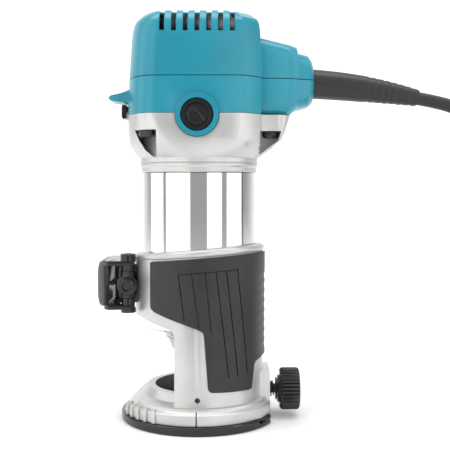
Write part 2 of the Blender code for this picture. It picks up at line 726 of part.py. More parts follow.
def make_brush_gear(body, side, label):
    """One side's cap, holder, spring and carbon brush. side is -1 at the front."""
    centre = (0, 0, BRUSH_Z)

    def span(a, b):
        return sorted((side * a, side * b))

    outline = [(0, 30.1), (4.2, 30.1), (4.2, 34.7), (8.4, 34.7), (8.4, 36.5), (7.8, 37.1), (0, 37.1)]
    cap = turned("cap", [(r, side * y) for r, y in outline], MIDDLE, "Y", centre)
    low, high = span(35.6, 40)
    slot = rotated(block("slot", (-7, low, -0.9), (7, high, 0.9)), 45 if side < 0 else -45, "Y")
    finish(cut(cap, shifted(slot, z=BRUSH_Z)), f"brush_cap_{label}", "black", body)
    low, high = span(13.4, 34.2)
    finish(ring("holder", 4.5, 5.8, low, high, "Y", centre, MIDDLE), f"brush_holder_{label}", "brass", body)
    low, high = span(10.9, 20.5)
    finish(
        block("brush", (-3.2, low, BRUSH_Z - 2.6), (3.2, high, BRUSH_Z + 2.6)), f"brush_{label}",
        "carbon", body
    )
    low, high = span(20.8, 29.8)
    finish(coil("spring", 2.6, 0.35, low, high, 4, "Y", centre), f"brush_spring_{label}", "steel", body)


def make_stator(body):
    core = ring("core", 23.0, 28.2, 93, 133, steps=24)
    poles = [sector("pole", 17.8, 23.6, a - 42, a + 42, 93, 133) for a in (90, 270)]
    finish(fused(core, *poles), "field_core", "lamination", body)
    coils = [sector("coil", 18.4, 22.6, a - 40, a + 40, 86, 140) for a in (0, 180)]
    coils = fused(ring("end", 18.4, 22.6, 134, 142, steps=24), *coils)
    finish(coils, "field_coils", "copper", body)
    baffle = [(17, 77), (28.2, 77), (28.2, 84), (26.6, 84), (26.6, 78.6), (17, 78.6)]
    finish(turned("baffle", baffle, MIDDLE + 8), "air_baffle", "baffle", body)


def make_bearings(body):
    lower = turned("bearing", [(6.05, 44.5), (13.95, 44.5), (13.95, 52.4), (6.05, 52.4)], MIDDLE)
    finish(lower, "lower_bearing", "steel", body)
    plug = [(7.5, 52.7), (13.9, 52.7), (13.9, 56.3), (19, 56.3), (19, 57.8), (7.5, 57.8)]
    finish(turned("retainer", plug, MIDDLE), "bearing_retainer", "steel", body)
    finish(ring("bearing", 4.05, 10.95, 181.2, 188.0, steps=MIDDLE), "upper_bearing", "steel", body)
    bar = block("bar", (-36.0, -7, 183), (32.6, 7, 187.4))
    cup = rod("cup", 13.8, 179.6, 189.6)
    bridge = cut(fused(cup, bar), rod("seat", 11.25, 180.9, 195), rod("shaft_hole", 6, 170, 185))
    finish(bridge, "bearing_bridge", "black", body)


def make_switch(body, rocker):
    finish(block("switch", (-35.4, -7.5, 172.0), (-20, 7.5, 181.5)), "switch_body", "black", body)
    paddle = prism(
        "paddle",
        [(-40.6, 170.2), (-42.6, 169.8), (-43.3, 171.0), (-43.3, 176.8), (-42.6, 177.9), (-40.6, 177.5)],
        -7, 7, "Y"
    )
    stem = block("stem", (-42.5, -5.2, 173.6), (-36.4, 5.2, 176.8))
    finish(fused(paddle, stem), "switch_rocker", "black", rocker)


DIAL = (-12.0, 28.5, 203.0)


def make_speed_control(body, dial):
    wheel = fluted("wheel", 9.0, 0.35, 16, 200.6, 205.4, "Z", (DIAL[0], DIAL[1], 0), 0.4)
    finish(
        fused(wheel, rod("pin", 1.5, 195, 209, "Z", (DIAL[0], DIAL[1], 0), SMALL)), "speed_dial", "black",
        dial
    )
    finish(block("board", (-30, 16.2, 192.5), (22, 17.8, 212)), "speed_board", "board", body)


def make_lock(body, button):
    """The spindle lock: a spring-loaded radial pin in the nose of the housing."""
    outline = [(0, 8.3), (1.5, 8.3), (1.5, 18.6), (3.4, 19.2), (3.4, 23.4), (2.6, 24.2), (0, 24.2)]
    piece = rotated(turned("pin", outline, MIDDLE, "X", (0, 0, 41.2)), LOCK_TURN)
    finish(piece, "lock_button", "black", button)
    spring = rotated(coil("spring", 2.1, 0.25, 13.6, 18.3, 4, "X", (0, 0, 41.2)), LOCK_TURN)
    finish(spring, "lock_spring", "steel", body)


# ---------------------------------------------------------------- the spindle


def make_spindle(body, cone_body, nut_body):
    shaft = turned(
        "shaft",
        [
            (0, 40.2), (4.6, 39.2), (6.5, SPINDLE_NOSE_Z), (7.9, SPINDLE_NOSE_Z), (7.9, 37.9),
            (7, 37.9), (7, 44.2),
            (5.75, 44.2), (5.75, 58.4), (5, 58.4), (5, 180.6), (3.75, 180.6), (3.75, 189.2), (0, 189.2),
        ],
        MIDDLE,
    )
    for quarter in range(4):
        shaft = cut(
            shaft, rotated(rod("lock", 1.9, 4.2, 10, "X", (0, 0, 41.2), SMALL), LOCK_TURN + 90 * quarter)
        )
    finish(shaft, "spindle", "steel", body)
    slots = 12
    outline = []
    for i in range(slots):
        a, wide, narrow = math.tau * i / slots, 0.19, 0.05
        for radius, turn in (
            (17, -wide), (17, wide), (9.5, math.tau / slots / 2 - narrow),
            (9.5, math.tau / slots / 2 + narrow)
        ):
            outline.append((radius * math.cos(a + turn), radius * math.sin(a + turn)))
    core = cut(prism("core", outline, 94, 132), rod("bore", 6.6, 80, 150))
    finish(core, "armature_core", "lamination", body)
    winding = [
        (5.3, 83.2), (12.5, 83.7), (15.6, 90.2), (15, 93.7), (6.3, 93.7),
        (6.3, 132.3), (15, 132.3), (15.6, 135.8), (12.5, 142.3), (5.3, 142.8),
    ]
    finish(turned("winding", winding, MIDDLE), "armature_windings", "copper", body)
    bars = turned(
        "bars", [(5.3, 156.5), (12, 156.5), (12, 159), (10.5, 159), (10.5, 178.5), (5.3, 178.5)], MIDDLE
    )
    finish(bars, "commutator", "copper", body)
    hub = turned(
        "hub", [(6.1, 59.2), (9, 59.2), (9, 60), (26, 60), (26, 61.5), (10, 61.5), (9, 73), (6.1, 73)],
        MIDDLE
    )
    lean = math.degrees(0.25)
    low, high = (8.2, -0.7, 60.8), (25.2, 0.7, 72.5)
    blades = [rotated(block("blade", low, high), lean + 36 * i) for i in range(10)]
    finish(fused(hub, *blades), "cooling_fan", "black", body)

    cone = turned(
        "cone", [(3.05, 23.2), (5.4, 23.2), (6.15, SPINDLE_NOSE_Z), (4.35, 38.3), (3.05, 38.3)], MIDDLE
    )
    slits = [rotated(block("slit", (1, -0.4, 26.5), (9, 0.4, 40)), 90 * i + 45) for i in range(4)]
    finish(cut(cone, *slits), "collet_cone", "steel", cone_body)
    nut = rod("nut", 11.0, 22.4, 36.8, steps=6, turn=math.pi / 6)
    nut = kept(nut, turned("chamfer", [(0, 22), (9.4, 22), (12, 24.2), (12, 37), (0, 37)], MIDDLE))
    nut = cut(nut, rod("thread", 8.2, 25.0, 40), rod("mouth", 6.5, 20, 30))
    finish(nut, "collet_nut", "steel", nut_body)


# ---------------------------------------------------------------- the cord

CORD_R = 3.75
# The cord guard's length past the housing, and its (reach, radius) from inside the outlet to its tip.
GUARD_LENGTH = 60.0


GUARD_RADII = [
    (-14, 8.3), (-12, 8.3), (-12, 10.4), (-9, 10.4), (-9, 8.3), (0, 8.3),
    (14, 8.0), (27, 7.5), (40, 6.6), (52, 5.5), (GUARD_LENGTH, 4.6),
]


def guard_line(reach):
    """The height of the guard's middle line at a distance past the housing."""
    return CORD_Z - 0.06 * reach - 0.0012 * reach * reach if reach > 0 else CORD_Z


def make_guard(body):
    loops = []
    for reach, radius in GUARD_RADII:
        slope = -0.06 - 0.0024 * reach if reach > 0 else 0.0
        loop = []
        for i in range(12):
            t = math.tau * i / 12
            away = radius * math.sin(t)
            loop.append(
                (HOUSING_END_X + reach - slope * away, radius * math.cos(t), guard_line(reach) + away)
            )
        loops.append(loop)
    finish(loft("guard", loops), "cord_guard", "rubber", body)
    clamp = block("clamp", (43, -9, 184), (48.5, 9, 188.5))
    finish(clamp, "cord_clamp", "black", body)


# Where the cord runs from the guard's tip to the coil, from the spindle axis.
GUARD_TIP = (HOUSING_END_X + GUARD_LENGTH, 0.0, guard_line(GUARD_LENGTH))
COIL_CENTRE = (212.0, 0.0)
COIL_MIDDLE_R = 42.0
COIL_HALF_WIDTH = 7.9  # two turns side by side
COIL_HEIGHT = 34.5  # and four on each other
# A gentle droop past the guard, an arc down, a hanging stretch, and a bend on to the coil.
CORD_ROUTE = [
    (GUARD_TIP[0] + 1.2, 0.0, GUARD_TIP[2] - 0.4),
    (134.0, 0.0, 180.0),
    (143.5, 0.0, 177.5),
    (153.0, 0.0, 173.5),
    (161.5, 0.0, 166.2),
    (167.3, 0.0, 156.0),
    (169.8, 0.0, 143.0),
    (170.6, 0.0, 125.0),
    (171.0, 0.5, 107.0),
    (171.2, 2.0, 89.0),
    (171.4, 6.5, 70.5),
    (172.2, 15.0, 53.5),
    (175.4, 26.5, 42.0),
    (182.5, 36.2, 38.9),
]


def smooth(route, per_span):
    """Points on a smooth curve through a route (Catmull-Rom)."""
    points = [Vector(p) for p in route]
    padded = [points[0] * 2 - points[1], *points, points[-1] * 2 - points[-2]]
    found = []
    for k in range(1, len(padded) - 2):
        a, b, c, d = padded[k - 1 : k + 3]
        for i in range(per_span):
            t = i / per_span
            square, cube = 2 * a - 5 * b + 4 * c - d, 3 * b - a - 3 * c + d
            found.append(0.5 * (2 * b + (c - a) * t + square * t * t + cube * t**3))
    return [*found, points[-1]]


def make_cord(body):
    line = bpy.data.curves.new("power_cord", "CURVE")
    line.dimensions = "3D"
    line.bevel_depth = CORD_R * MM
    line.bevel_resolution = 2
    line.use_fill_caps = True
    spline = line.splines.new("POLY")
    points = smooth(CORD_ROUTE, 3)
    spline.points.add(len(points) - 1)
    for slot, point in zip(spline.points, points):
        slot.co = (*(point * MM), 1)
    tube = bpy.data.objects.new("power_cord", line)
    bpy.context.scene.collection.objects.link(tube)
    tube.data.materials.append(MATERIALS["rubber"])
    tube.parent = body
    outer, inner, top = COIL_MIDDLE_R + COIL_HALF_WIDTH, COIL_MIDDLE_R - COIL_HALF_WIDTH, COIL_HEIGHT
    outline = [(inner, 2.5), (inner + 2.5, 0), (outer - 2.5, 0), (outer, 2.5)]
    outline += [(outer, top - 2.5), (outer - 2.5, top), (inner + 2.5, top), (inner, top - 2.5)]
    bundle = turned("bundle", outline, MIDDLE + 8, "Z", (*COIL_CENTRE, 0))
    finish(bundle, "cord_coil", "rubber", body)


# The mains plug lies on the coil, its pins pointing along -Y.
PLUG = (COIL_CENTRE[0] + 38, -18.0, COIL_HEIGHT + 0.4)


def make_plug(body):
    x, y, z = PLUG
    shape = [(y + 22, 4.6), (y + 10, 6.0), (y, 12), (y - 14, 13.5), (y - 18, 13.0)]
    loops = []
    for along, half in shape:
        outline = rounded_box(half, half, min(half, 9.0), min(half, 9.0) * 0.6, min(half, 9.0) * 0.6, 4)
        loops.append([(x + a, along, z + 9.1 + b) for a, b in outline])
    finish(loft("plug", loops), "mains_plug", "rubber", body)
    plate = block("plate", (x - 12, y - 19.6, z + 2), (x + 12, y - 18.3, z + 16))
    pins = [rod("pin", 2.0, y - 37, y - 18.8, "Y", (x + s * 9.5 * 0.8, 0, z + 9.1), SMALL) for s in (-1, 1)]
    finish(fused(plate, *pins), "plug_pins", "brass", body)


# ---------------------------------------------------------------- assembly


def main():
    """The motor is the root, because the cord hangs from it to the floor, and the base slides on it."""
    lock_way = Vector((math.cos(math.radians(LOCK_TURN)), math.sin(math.radians(LOCK_TURN)), 0))
    motor = ROUTER
    finish(make_motor_housing(), "motor_housing", "polished", motor)
    finish(make_housing_body(), "housing_body", "shell", motor)
    finish(make_top_cover(), "top_cover", "shell", motor)
    make_shell_screws(motor)
    make_brush_gear(motor, -1, "front")
    make_brush_gear(motor, 1, "rear")
    make_stator(motor)
    make_bearings(motor)
    make_switch(motor, pivot("rocker_axis", (-40.0, 0, 175.2)))
    make_speed_control(motor, pivot("dial_axis", DIAL))
    make_lock(motor, pivot("lock_axis", tuple(lock_way * 20 + Vector((0, 0, 41.2)))))
    make_guard(motor)
    make_cord(motor)
    make_plug(motor)

    spindle = pivot("spindle_axis", (0, 0, DRUM_BOTTOM))
    cone = pivot("collet_travel", (0, 0, SPINDLE_NOSE_Z), spindle)
    make_spindle(spindle, cone, pivot("collet_axis", (0, 0, SPINDLE_NOSE_Z), cone))

    base = pivot("base", (0, 0, 0))
    make_base(base)
    make_clamp(base, pivot("lever_axis", (*LEVER_PIVOT, CLAMP_Z), base))
    washer = pivot("guide_travel", (GUIDE_FACE_X, 0, KNOB_Z), base)
    make_guide_clamp(base, washer, pivot("guide_axis", (GUIDE_FACE_X, 0, KNOB_Z), washer))
    make_pinion(pivot("pinion_axis", (0, PINION_Y, PINION_Z), base))


main()
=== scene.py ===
"""The looks of the trim router: finer castings, shells, grip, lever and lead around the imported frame.

Pieces are drawn in millimetres about the spindle's axis, with Z = 0 at the sole, and placed() turns
them into metres in the frame's own axes.
"""

import json
import math

import bmesh
import bpy
from mathutils import Matrix, Vector


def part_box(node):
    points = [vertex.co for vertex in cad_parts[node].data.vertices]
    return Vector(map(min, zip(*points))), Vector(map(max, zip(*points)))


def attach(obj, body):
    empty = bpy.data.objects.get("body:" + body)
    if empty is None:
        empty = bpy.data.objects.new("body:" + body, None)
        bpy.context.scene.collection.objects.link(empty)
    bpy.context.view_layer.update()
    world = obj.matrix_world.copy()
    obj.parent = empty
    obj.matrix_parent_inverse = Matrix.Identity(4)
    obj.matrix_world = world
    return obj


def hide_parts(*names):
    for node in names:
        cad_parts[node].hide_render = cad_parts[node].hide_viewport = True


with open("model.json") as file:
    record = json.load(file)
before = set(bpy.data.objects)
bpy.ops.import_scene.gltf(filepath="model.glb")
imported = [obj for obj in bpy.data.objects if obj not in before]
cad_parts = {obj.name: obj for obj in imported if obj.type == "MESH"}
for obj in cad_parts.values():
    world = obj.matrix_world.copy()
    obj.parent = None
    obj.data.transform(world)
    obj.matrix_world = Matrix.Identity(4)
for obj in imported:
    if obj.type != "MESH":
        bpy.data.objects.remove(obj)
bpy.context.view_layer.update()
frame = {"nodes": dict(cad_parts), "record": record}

MM = 0.001
AXIS_X = sum(corner.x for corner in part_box("spindle")) / 2 / MM  # the spindle axis in the row frame
COVER_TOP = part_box("top_cover")[1].z / MM
GUIDE_FACE_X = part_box("base_casting")[1].x / MM - AXIS_X
SOLE_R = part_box("sub_base")[1].y / MM
DRUM_R = 32.5
BORE_R = DRUM_R + 0.3
COLUMN_R = 36.4
PARTING_Z = 190.8
FLANGE_TOP = 171.0
BRUSH_Z = 170.1
COLLAR_TOP = 96.9
COLLAR_TILT_X = 0.078
COLLAR_TILT_Y = -0.036
WINDOW_X = -12.5
KNOB_Z = 15.1
CLAMP_Z = 77.4
LEVER_PIVOT = (-39.2, -15.0)
CORD_Z = 190.0
HOUSING_END_X = 64.4
VENT_PITCH = 6.22
ROUND = 128


# ---------------------------------------------------------------- camera, floor and light


def aim(thing, place, target):
    thing.location = Vector(place)
    direction = Vector(target) - thing.location
    thing.rotation_euler = direction.to_track_quat("-Z", "Y").to_euler()


def make_camera():
    camera = bpy.data.objects.new("camera", bpy.data.cameras.new("camera"))
    bpy.context.scene.collection.objects.link(camera)
    camera.data.sensor_width = 36
    camera.data.lens = 66.7
    camera.location = ((14.8 + AXIS_X) * MM, -0.478, 0.1344)
    camera.rotation_euler = (math.radians(90 - 2.95), 0, 0)
    bpy.context.scene.camera = camera


def make_stage():
    """A pale floor that curves up into a wall, far enough back to stay plain."""
    profile = [(-3.0, 0.0), (0.9, 0.0)]
    for i in range(1, 13):
        t = math.radians(90 * i / 12)
        profile.append((0.9 + 0.5 * math.sin(t), 0.5 - 0.5 * math.cos(t)))
    profile.append((1.4, 2.4))
    mesh = bpy.data.meshes.new("floor")
    points = [(x, y, z - 0.0002) for y, z in profile for x in (-3.5, 3.5)]
    mesh.from_pydata(points, [], [(2 * i, 2 * i + 1, 2 * i + 3, 2 * i + 2) for i in range(len(profile) - 1)])
    floor = bpy.data.objects.new("floor", mesh)
    bpy.context.scene.collection.objects.link(floor)
    mesh.shade_smooth()
    paint = Paint("floor", 0.6)
    paint.colour((0.93, 0.93, 0.93), (0.97, 0.97, 0.97), paint.noise(3))
    mesh.materials.append(paint.done)


def make_light():
    world = bpy.data.worlds.new("studio")
    bpy.context.scene.world = world
    world.use_nodes = True
    world.node_tree.nodes["Background"].inputs["Color"].default_value = (1, 1, 1, 1)
    world.node_tree.nodes["Background"].inputs["Strength"].default_value = WORLD_LEVEL
    for i, (start, end, level) in enumerate(SOFTBOXES):
        around = math.radians((start + end) / 2)
        wide = 2 * SOFTBOX_AWAY * math.tan(math.radians(end - start) / 2)
        x, y = SOFTBOX_AWAY * math.sin(around), -SOFTBOX_AWAY * math.cos(around)
        middle = SOFTBOX_TALL / 2
        add_light(f"softbox_{i}", (x, y, middle), (0, 0, middle), wide, SOFTBOX_TALL, level)
    add_light("top", (-0.1, -0.1, 1.3), (0, 0, 0.1), 1.1, 1.1, 1.2)
    add_light("wall", (0.0, 0.1, 1.5), (0, 1.4, 0.6), 2.0, 1.0, 3.6)


def add_light(name, place, target, wide, tall, level):
    """A soft panel of the given radiance."""
    light = bpy.data.lights.new(name, "AREA")
    light.shape = "RECTANGLE"
    light.size, light.size_y = wide, tall
    light.energy = math.pi * wide * tall * level
    holder = bpy.data.objects.new(name, light)
    holder.visible_camera = False
    bpy.context.scene.collection.objects.link(holder)
    aim(holder, place, target)


WORLD_LEVEL = 0.42
SOFTBOX_AWAY = 0.8
SOFTBOX_TALL = 1.0
# Softboxes round the tool: start and end in degrees from the front towards +X, and brightness
SOFTBOXES = [(-108, -73, 1.25), (-66, -16, 1.3), (17, 46, 1.45), (57, 93, 1.35)]


# ---------------------------------------------------------------- materials


class Paint:
    """A Principled material whose detail comes from nodes in the object's own coordinates."""

    def __init__(self, name, roughness, metallic=0.0):
        self.done = bpy.data.materials.new(name)
        self.done.use_nodes = True
        self.nodes, self.links = self.done.node_tree.nodes, self.done.node_tree.links
        self.shader = self.nodes["Principled BSDF"]
        self.shader.inputs["Roughness"].default_value = roughness
        self.shader.inputs["Metallic"].default_value = metallic
        self.place = self.nodes.new("ShaderNodeTexCoord").outputs["Object"]
        self.normal = None

    def stretched(self, x, y, z):
        mapping = self.nodes.new("ShaderNodeMapping")
        mapping.inputs["Scale"].default_value = (x, y, z)
        self.links.new(self.place, mapping.inputs["Vector"])
        return mapping.outputs[0]

    def noise(self, scale, detail=3.0, where=None):
        made = self.nodes.new("ShaderNodeTexNoise")
        made.inputs["Scale"].default_value = scale
        made.inputs["Detail"].default_value = detail
        self.links.new(where or self.place, made.inputs["Vector"])
        return made.outputs["Fac"]

    def cells(self, scale, where=None):
        made = self.nodes.new("ShaderNodeTexVoronoi")
        made.inputs["Scale"].default_value = scale
        self.links.new(where or self.place, made.inputs["Vector"])
        return made.outputs["Distance"]

    def bands(self, scale, direction="Z", distortion=0.0):
        made = self.nodes.new("ShaderNodeTexWave")
        made.bands_direction = direction
        made.inputs["Scale"].default_value = scale
        made.inputs["Distortion"].default_value = distortion
        self.links.new(self.place, made.inputs["Vector"])
        return made.outputs["Fac"]

    def blend(self, low, high, factor, start=0.35, end=0.65):
        ramp = self.nodes.new("ShaderNodeValToRGB")
        ramp.color_ramp.elements[0].position = start
        ramp.color_ramp.elements[1].position = end
        ramp.color_ramp.elements[0].color = (*low, 1)
        ramp.color_ramp.elements[1].color = (*high, 1)
        self.links.new(factor, ramp.inputs[0])
        return ramp.outputs[0]

    def colour(self, low, high, factor, start=0.35, end=0.65):
        self.links.new(self.blend(low, high, factor, start, end), self.shader.inputs["Base Color"])

    def roughness(self, low, high, factor):
        spread = self.nodes.new("ShaderNodeMapRange")
        spread.inputs["To Min"].default_value = low
        spread.inputs["To Max"].default_value = high
        self.links.new(factor, spread.inputs["Value"])
        self.links.new(spread.outputs[0], self.shader.inputs["Roughness"])

    def bump(self, height, depth, strength=0.5):
        made = self.nodes.new("ShaderNodeBump")
        made.inputs["Distance"].default_value = depth * MM
        made.inputs["Strength"].default_value = strength
        self.links.new(height, made.inputs["Height"])
        if self.normal:
            self.links.new(self.normal, made.inputs["Normal"])
        self.normal = made.outputs[0]
        self.links.new(self.normal, self.shader.inputs["Normal"])


def cast_metal():
    paint = Paint("cast_aluminium", 0.36, 0.7)
    paint.colour((0.5, 0.5, 0.49), (0.57, 0.57, 0.56), paint.noise(45))
    paint.roughness(0.32, 0.46, paint.noise(180))
    paint.bump(paint.noise(1400, 2), 0.05, 0.35)
    paint.bump(paint.noise(120, 2), 0.15, 0.15)
    return paint.done


def polished_metal():
    paint = Paint("polished_aluminium", 0.09, 1.0)
    turning = paint.noise(260, 2, paint.stretched(0.02, 0.02, 9))
    paint.colour((0.76, 0.76, 0.775), (0.8, 0.8, 0.815), turning)
    paint.roughness(0.05, 0.1, turning)
    paint.bump(turning, 0.002, 0.2)
    return paint.done


def steel(name, colour, rough, scale=400):
    paint = Paint(name, rough, 1.0)
    paint.colour(tuple(0.82 * c for c in colour), colour, paint.noise(scale))
    paint.roughness(rough * 0.8, rough * 1.35, paint.noise(scale * 0.6))
    paint.bump(paint.noise(scale * 3, 2), 0.01, 0.3)
    return paint.done


def plastic(name, colour, rough, grain=0.35, scale=2600):
    paint = Paint(name, rough)
    paint.colour(tuple(0.9 * c for c in colour), tuple(min(1, 1.06 * c) for c in colour), paint.noise(30))
    paint.roughness(rough * 0.88, rough * 1.15, paint.noise(300))
    paint.bump(paint.noise(scale, 2), 0.03, grain)
    return paint.done


def elastomer(name, colour, rough):
    paint = Paint(name, rough)
    paint.colour(tuple(0.8 * c for c in colour), tuple(1.2 * c for c in colour), paint.noise(60))
    paint.roughness(rough * 0.9, rough * 1.15, paint.noise(500))
    paint.bump(paint.cells(1900), 0.05, 0.4)
    return paint.done


def windings():
    paint = Paint("copper_wire", 0.3, 1.0)
    paint.colour((0.42, 0.17, 0.07), (0.78, 0.4, 0.2), paint.bands(420, "DIAGONAL", 1.5))
    paint.bump(paint.bands(420, "DIAGONAL", 1.5), 0.2, 0.6)
    return paint.done


def laminations():
    paint = Paint("stacked_sheet", 0.42, 0.9)
    paint.colour((0.14, 0.14, 0.15), (0.36, 0.36, 0.38), paint.bands(320, "Z"))
    paint.bump(paint.bands(320, "Z"), 0.08, 0.5)
    return paint.done


def make_materials():
    return {
        "cast_aluminium": cast_metal(),
        "polished_aluminium": polished_metal(),
        "steel": steel("steel", (0.62, 0.62, 0.63), 0.26),
        "black_steel": steel("black_steel", (0.06, 0.06, 0.065), 0.34),
        "teal_plastic": plastic("teal_plastic", (0.006, 0.235, 0.32), 0.3, 0.2),
        "black_plastic": plastic("black_plastic", (0.006, 0.006, 0.007), 0.2),
        "grey_plastic": plastic("grey_plastic", (0.085, 0.085, 0.09), 0.5, 0.5),
        "grip_rubber": elastomer("grip_rubber", (0.011, 0.01, 0.012), 0.46),
        "cord_rubber": elastomer("cord_rubber", (0.009, 0.009, 0.01), 0.42),
        "copper": windings(),
        "lamination": laminations(),
        "brass": steel("brass", (0.78, 0.6, 0.3), 0.25),
        "carbon": elastomer("carbon", (0.02, 0.02, 0.02), 0.8),
        "circuit_board": plastic("circuit_board", (0.015, 0.16, 0.05), 0.4),
    }


# ---------------------------------------------------------------- solids


def linked(name, mesh):
    made = bpy.data.objects.new(name, mesh)
    bpy.context.scene.collection.objects.link(made)
    return made


def solid(name, points, faces):
    mesh = bpy.data.meshes.new(name)
    mesh.from_pydata([Vector(p) for p in points], [], faces)
    work = bmesh.new()
    work.from_mesh(mesh)
    bmesh.ops.recalc_face_normals(work, faces=work.faces)
    work.to_mesh(mesh)
    work.free()
    return linked(name, mesh)


def turned_to(axis, radial, around, along):
    a, b = radial * math.cos(around), radial * math.sin(around)
    return {"X": (along, a, b), "Y": (b, along, a), "Z": (a, b, along)}[axis]


def turned(name, profile, steps=ROUND, axis="Z", centre=(0, 0, 0), turn=0.0):
    points, rings = [], []
    for radius, along in profile:
        count = 1 if radius == 0 else steps
        rings.append(list(range(len(points), len(points) + count)))
        for i in range(count):
            place = turned_to(axis, radius, turn + math.tau * i / steps, along)
            points.append([p + c for p, c in zip(place, centre)])
    faces = []
    for k, ring in enumerate(rings):
        other = rings[(k + 1) % len(rings)]
        if len(ring) == len(other) == 1:
            continue
        for i in range(steps):
            j = (i + 1) % steps
            corners = [
                ring[i % len(ring)], ring[j % len(ring)], other[j % len(other)], other[i % len(other)]
            ]
            faces.append(list(dict.fromkeys(corners)))
    return solid(name, points, faces)


def rod(name, radius, low, high, axis="Z", centre=(0, 0, 0), steps=48, turn=0.0):
    return turned(name, [(0, low), (radius, low), (radius, high), (0, high)], steps, axis, centre, turn)


def ring(name, inner, outer, low, high, axis="Z", centre=(0, 0, 0), steps=64):
    return turned(name, [(inner, low), (outer, low), (outer, high), (inner, high)], steps, axis, centre)


def loft(name, loops):
    points = [p for loop in loops for p in loop]
    n = len(loops[0])
    faces = [list(range(n)), [(len(loops) - 1) * n + i for i in range(n)]]
    for k in range(len(loops) - 1):
        for i in range(n):
            j = (i + 1) % n
            faces.append([k * n + i, k * n + j, (k + 1) * n + j, (k + 1) * n + i])
    return solid(name, points, faces)


def block(name, low, high):
    (x0, y0, z0), (x1, y1, z1) = low, high
    return loft(name, [[(x, y, z) for x, y in ((x0, y0), (x1, y0), (x1, y1), (x0, y1))] for z in (z0, z1)])


def prism(name, outline, low, high, axis="Z"):
    def place(a, b, h):
        return {"X": (h, a, b), "Y": (a, h, b), "Z": (a, b, h)}[axis]

    return loft(name, [[place(a, b, h) for a, b in outline] for h in (low, high)])


def moved(piece, matrix):
    piece.data.transform(matrix)
    return piece


def shifted(piece, x=0.0, y=0.0, z=0.0):
    return moved(piece, Matrix.Translation((x, y, z)))


def rotated(piece, degrees, axis="Z"):
    return moved(piece, Matrix.Rotation(math.radians(degrees), 4, axis))


def applied(piece):
    """Bakes the piece's modifiers into its mesh."""
    graph = bpy.context.evaluated_depsgraph_get()
    mesh = bpy.data.meshes.new_from_object(piece.evaluated_get(graph))
    piece.modifiers.clear()
    piece.data = mesh
    return piece


def cleaned(piece):
    work = bmesh.new()
    work.from_mesh(piece.data)
    bmesh.ops.remove_doubles(work, verts=work.verts, dist=0.002)
    bmesh.ops.dissolve_degenerate(work, edges=work.edges, dist=0.002)
    work.to_mesh(piece.data)
    work.free()
    return piece


def boolean(piece, tools, operation):
    for tool in tools:
        step = piece.modifiers.new("boolean", "BOOLEAN")
        step.operation, step.solver, step.object = operation, "EXACT", tool
        applied(piece)
        cleaned(piece)
        bpy.data.objects.remove(tool)
    return piece


def cut(piece, *tools):
    return boolean(piece, tools, "DIFFERENCE")


def fused(piece, *tools):
    return boolean(piece, tools, "UNION")


def kept(piece, *tools):
    return boolean(piece, tools, "INTERSECT")


def softened(piece, width, angle=38, segments=3):
    """Rounds the edges as moulding or casting does."""
    step = piece.modifiers.new("bevel", "BEVEL")
    step.width, step.segments = width, segments
    step.limit_method, step.angle_limit = "ANGLE", math.radians(angle)
    step.use_clamp_overlap = True
    step.miter_outer = "MITER_ARC"
    return applied(piece)


def arc(centre, radius, start, end, count):
    a, b = math.radians(start), math.radians(end)
    steps = [a + (b - a) * i / (count - 1) for i in range(count)]
    return [(centre[0] + radius * math.cos(t), centre[1] + radius * math.sin(t)) for t in steps]


def smooth(route, per_span):
    """Points on a smooth curve through a route (Catmull-Rom)."""
    points = [Vector(p) for p in route]
    padded = [points[0] * 2 - points[1], *points, points[-1] * 2 - points[-2]]
    found = []
    for k in range(1, len(padded) - 2):
        a, b, c, d = padded[k - 1 : k + 3]
        for i in range(per_span):
            t = i / per_span
            found.append(
                0.5 * (
                    2 * b + (c - a) * t + (
                        2 * a - 5 * b + 4 * c - d
                    ) * t * t + (3 * b - a - 3 * c + d) * t**3
                )
            )
    return [*found, points[-1]]


def placed(piece, name, material, body, nodes, sharp=34):
    """Names a finished piece, takes it to the frame's metres, and hangs it on its body."""
    piece.name = name
    piece.data.name = name
    piece.data.materials.clear()
    piece.data.materials.append(MATERIALS[material])
    if piece.type == "MESH":
        piece.data.transform(Matrix.Scale(MM, 4) @ Matrix.Translation((AXIS_X, 0, 0)))
        piece.data.shade_smooth()
        piece.data.set_sharp_from_angle(angle=math.radians(sharp))
    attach(piece, body)
    if nodes:
        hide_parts(*nodes)
    return piece


# ---------------------------------------------------------------- the cord

CORD_R = 3.75
GUARD_LENGTH = 60.0
GUARD_RADII = [
    (-14, 8.3), (-12, 8.3), (-12, 10.4), (-9, 10.4), (-9, 8.3), (0, 8.3),
    (14, 8.0), (27, 7.5), (40, 6.6), (52, 5.5), (GUARD_LENGTH, 4.6),
]
COIL_CENTRE = (212.0, 0.0)
COIL_MIDDLE_R = 42.0
TURN_PITCH = 7.65
PLUG = (COIL_CENTRE[0] + 38, -18.0, 34.9)


def guard_line(reach):
    return CORD_Z - 0.06 * reach - 0.0012 * reach * reach if reach > 0 else CORD_Z


GUARD_TIP = (HOUSING_END_X + GUARD_LENGTH, 0.0, guard_line(GUARD_LENGTH))
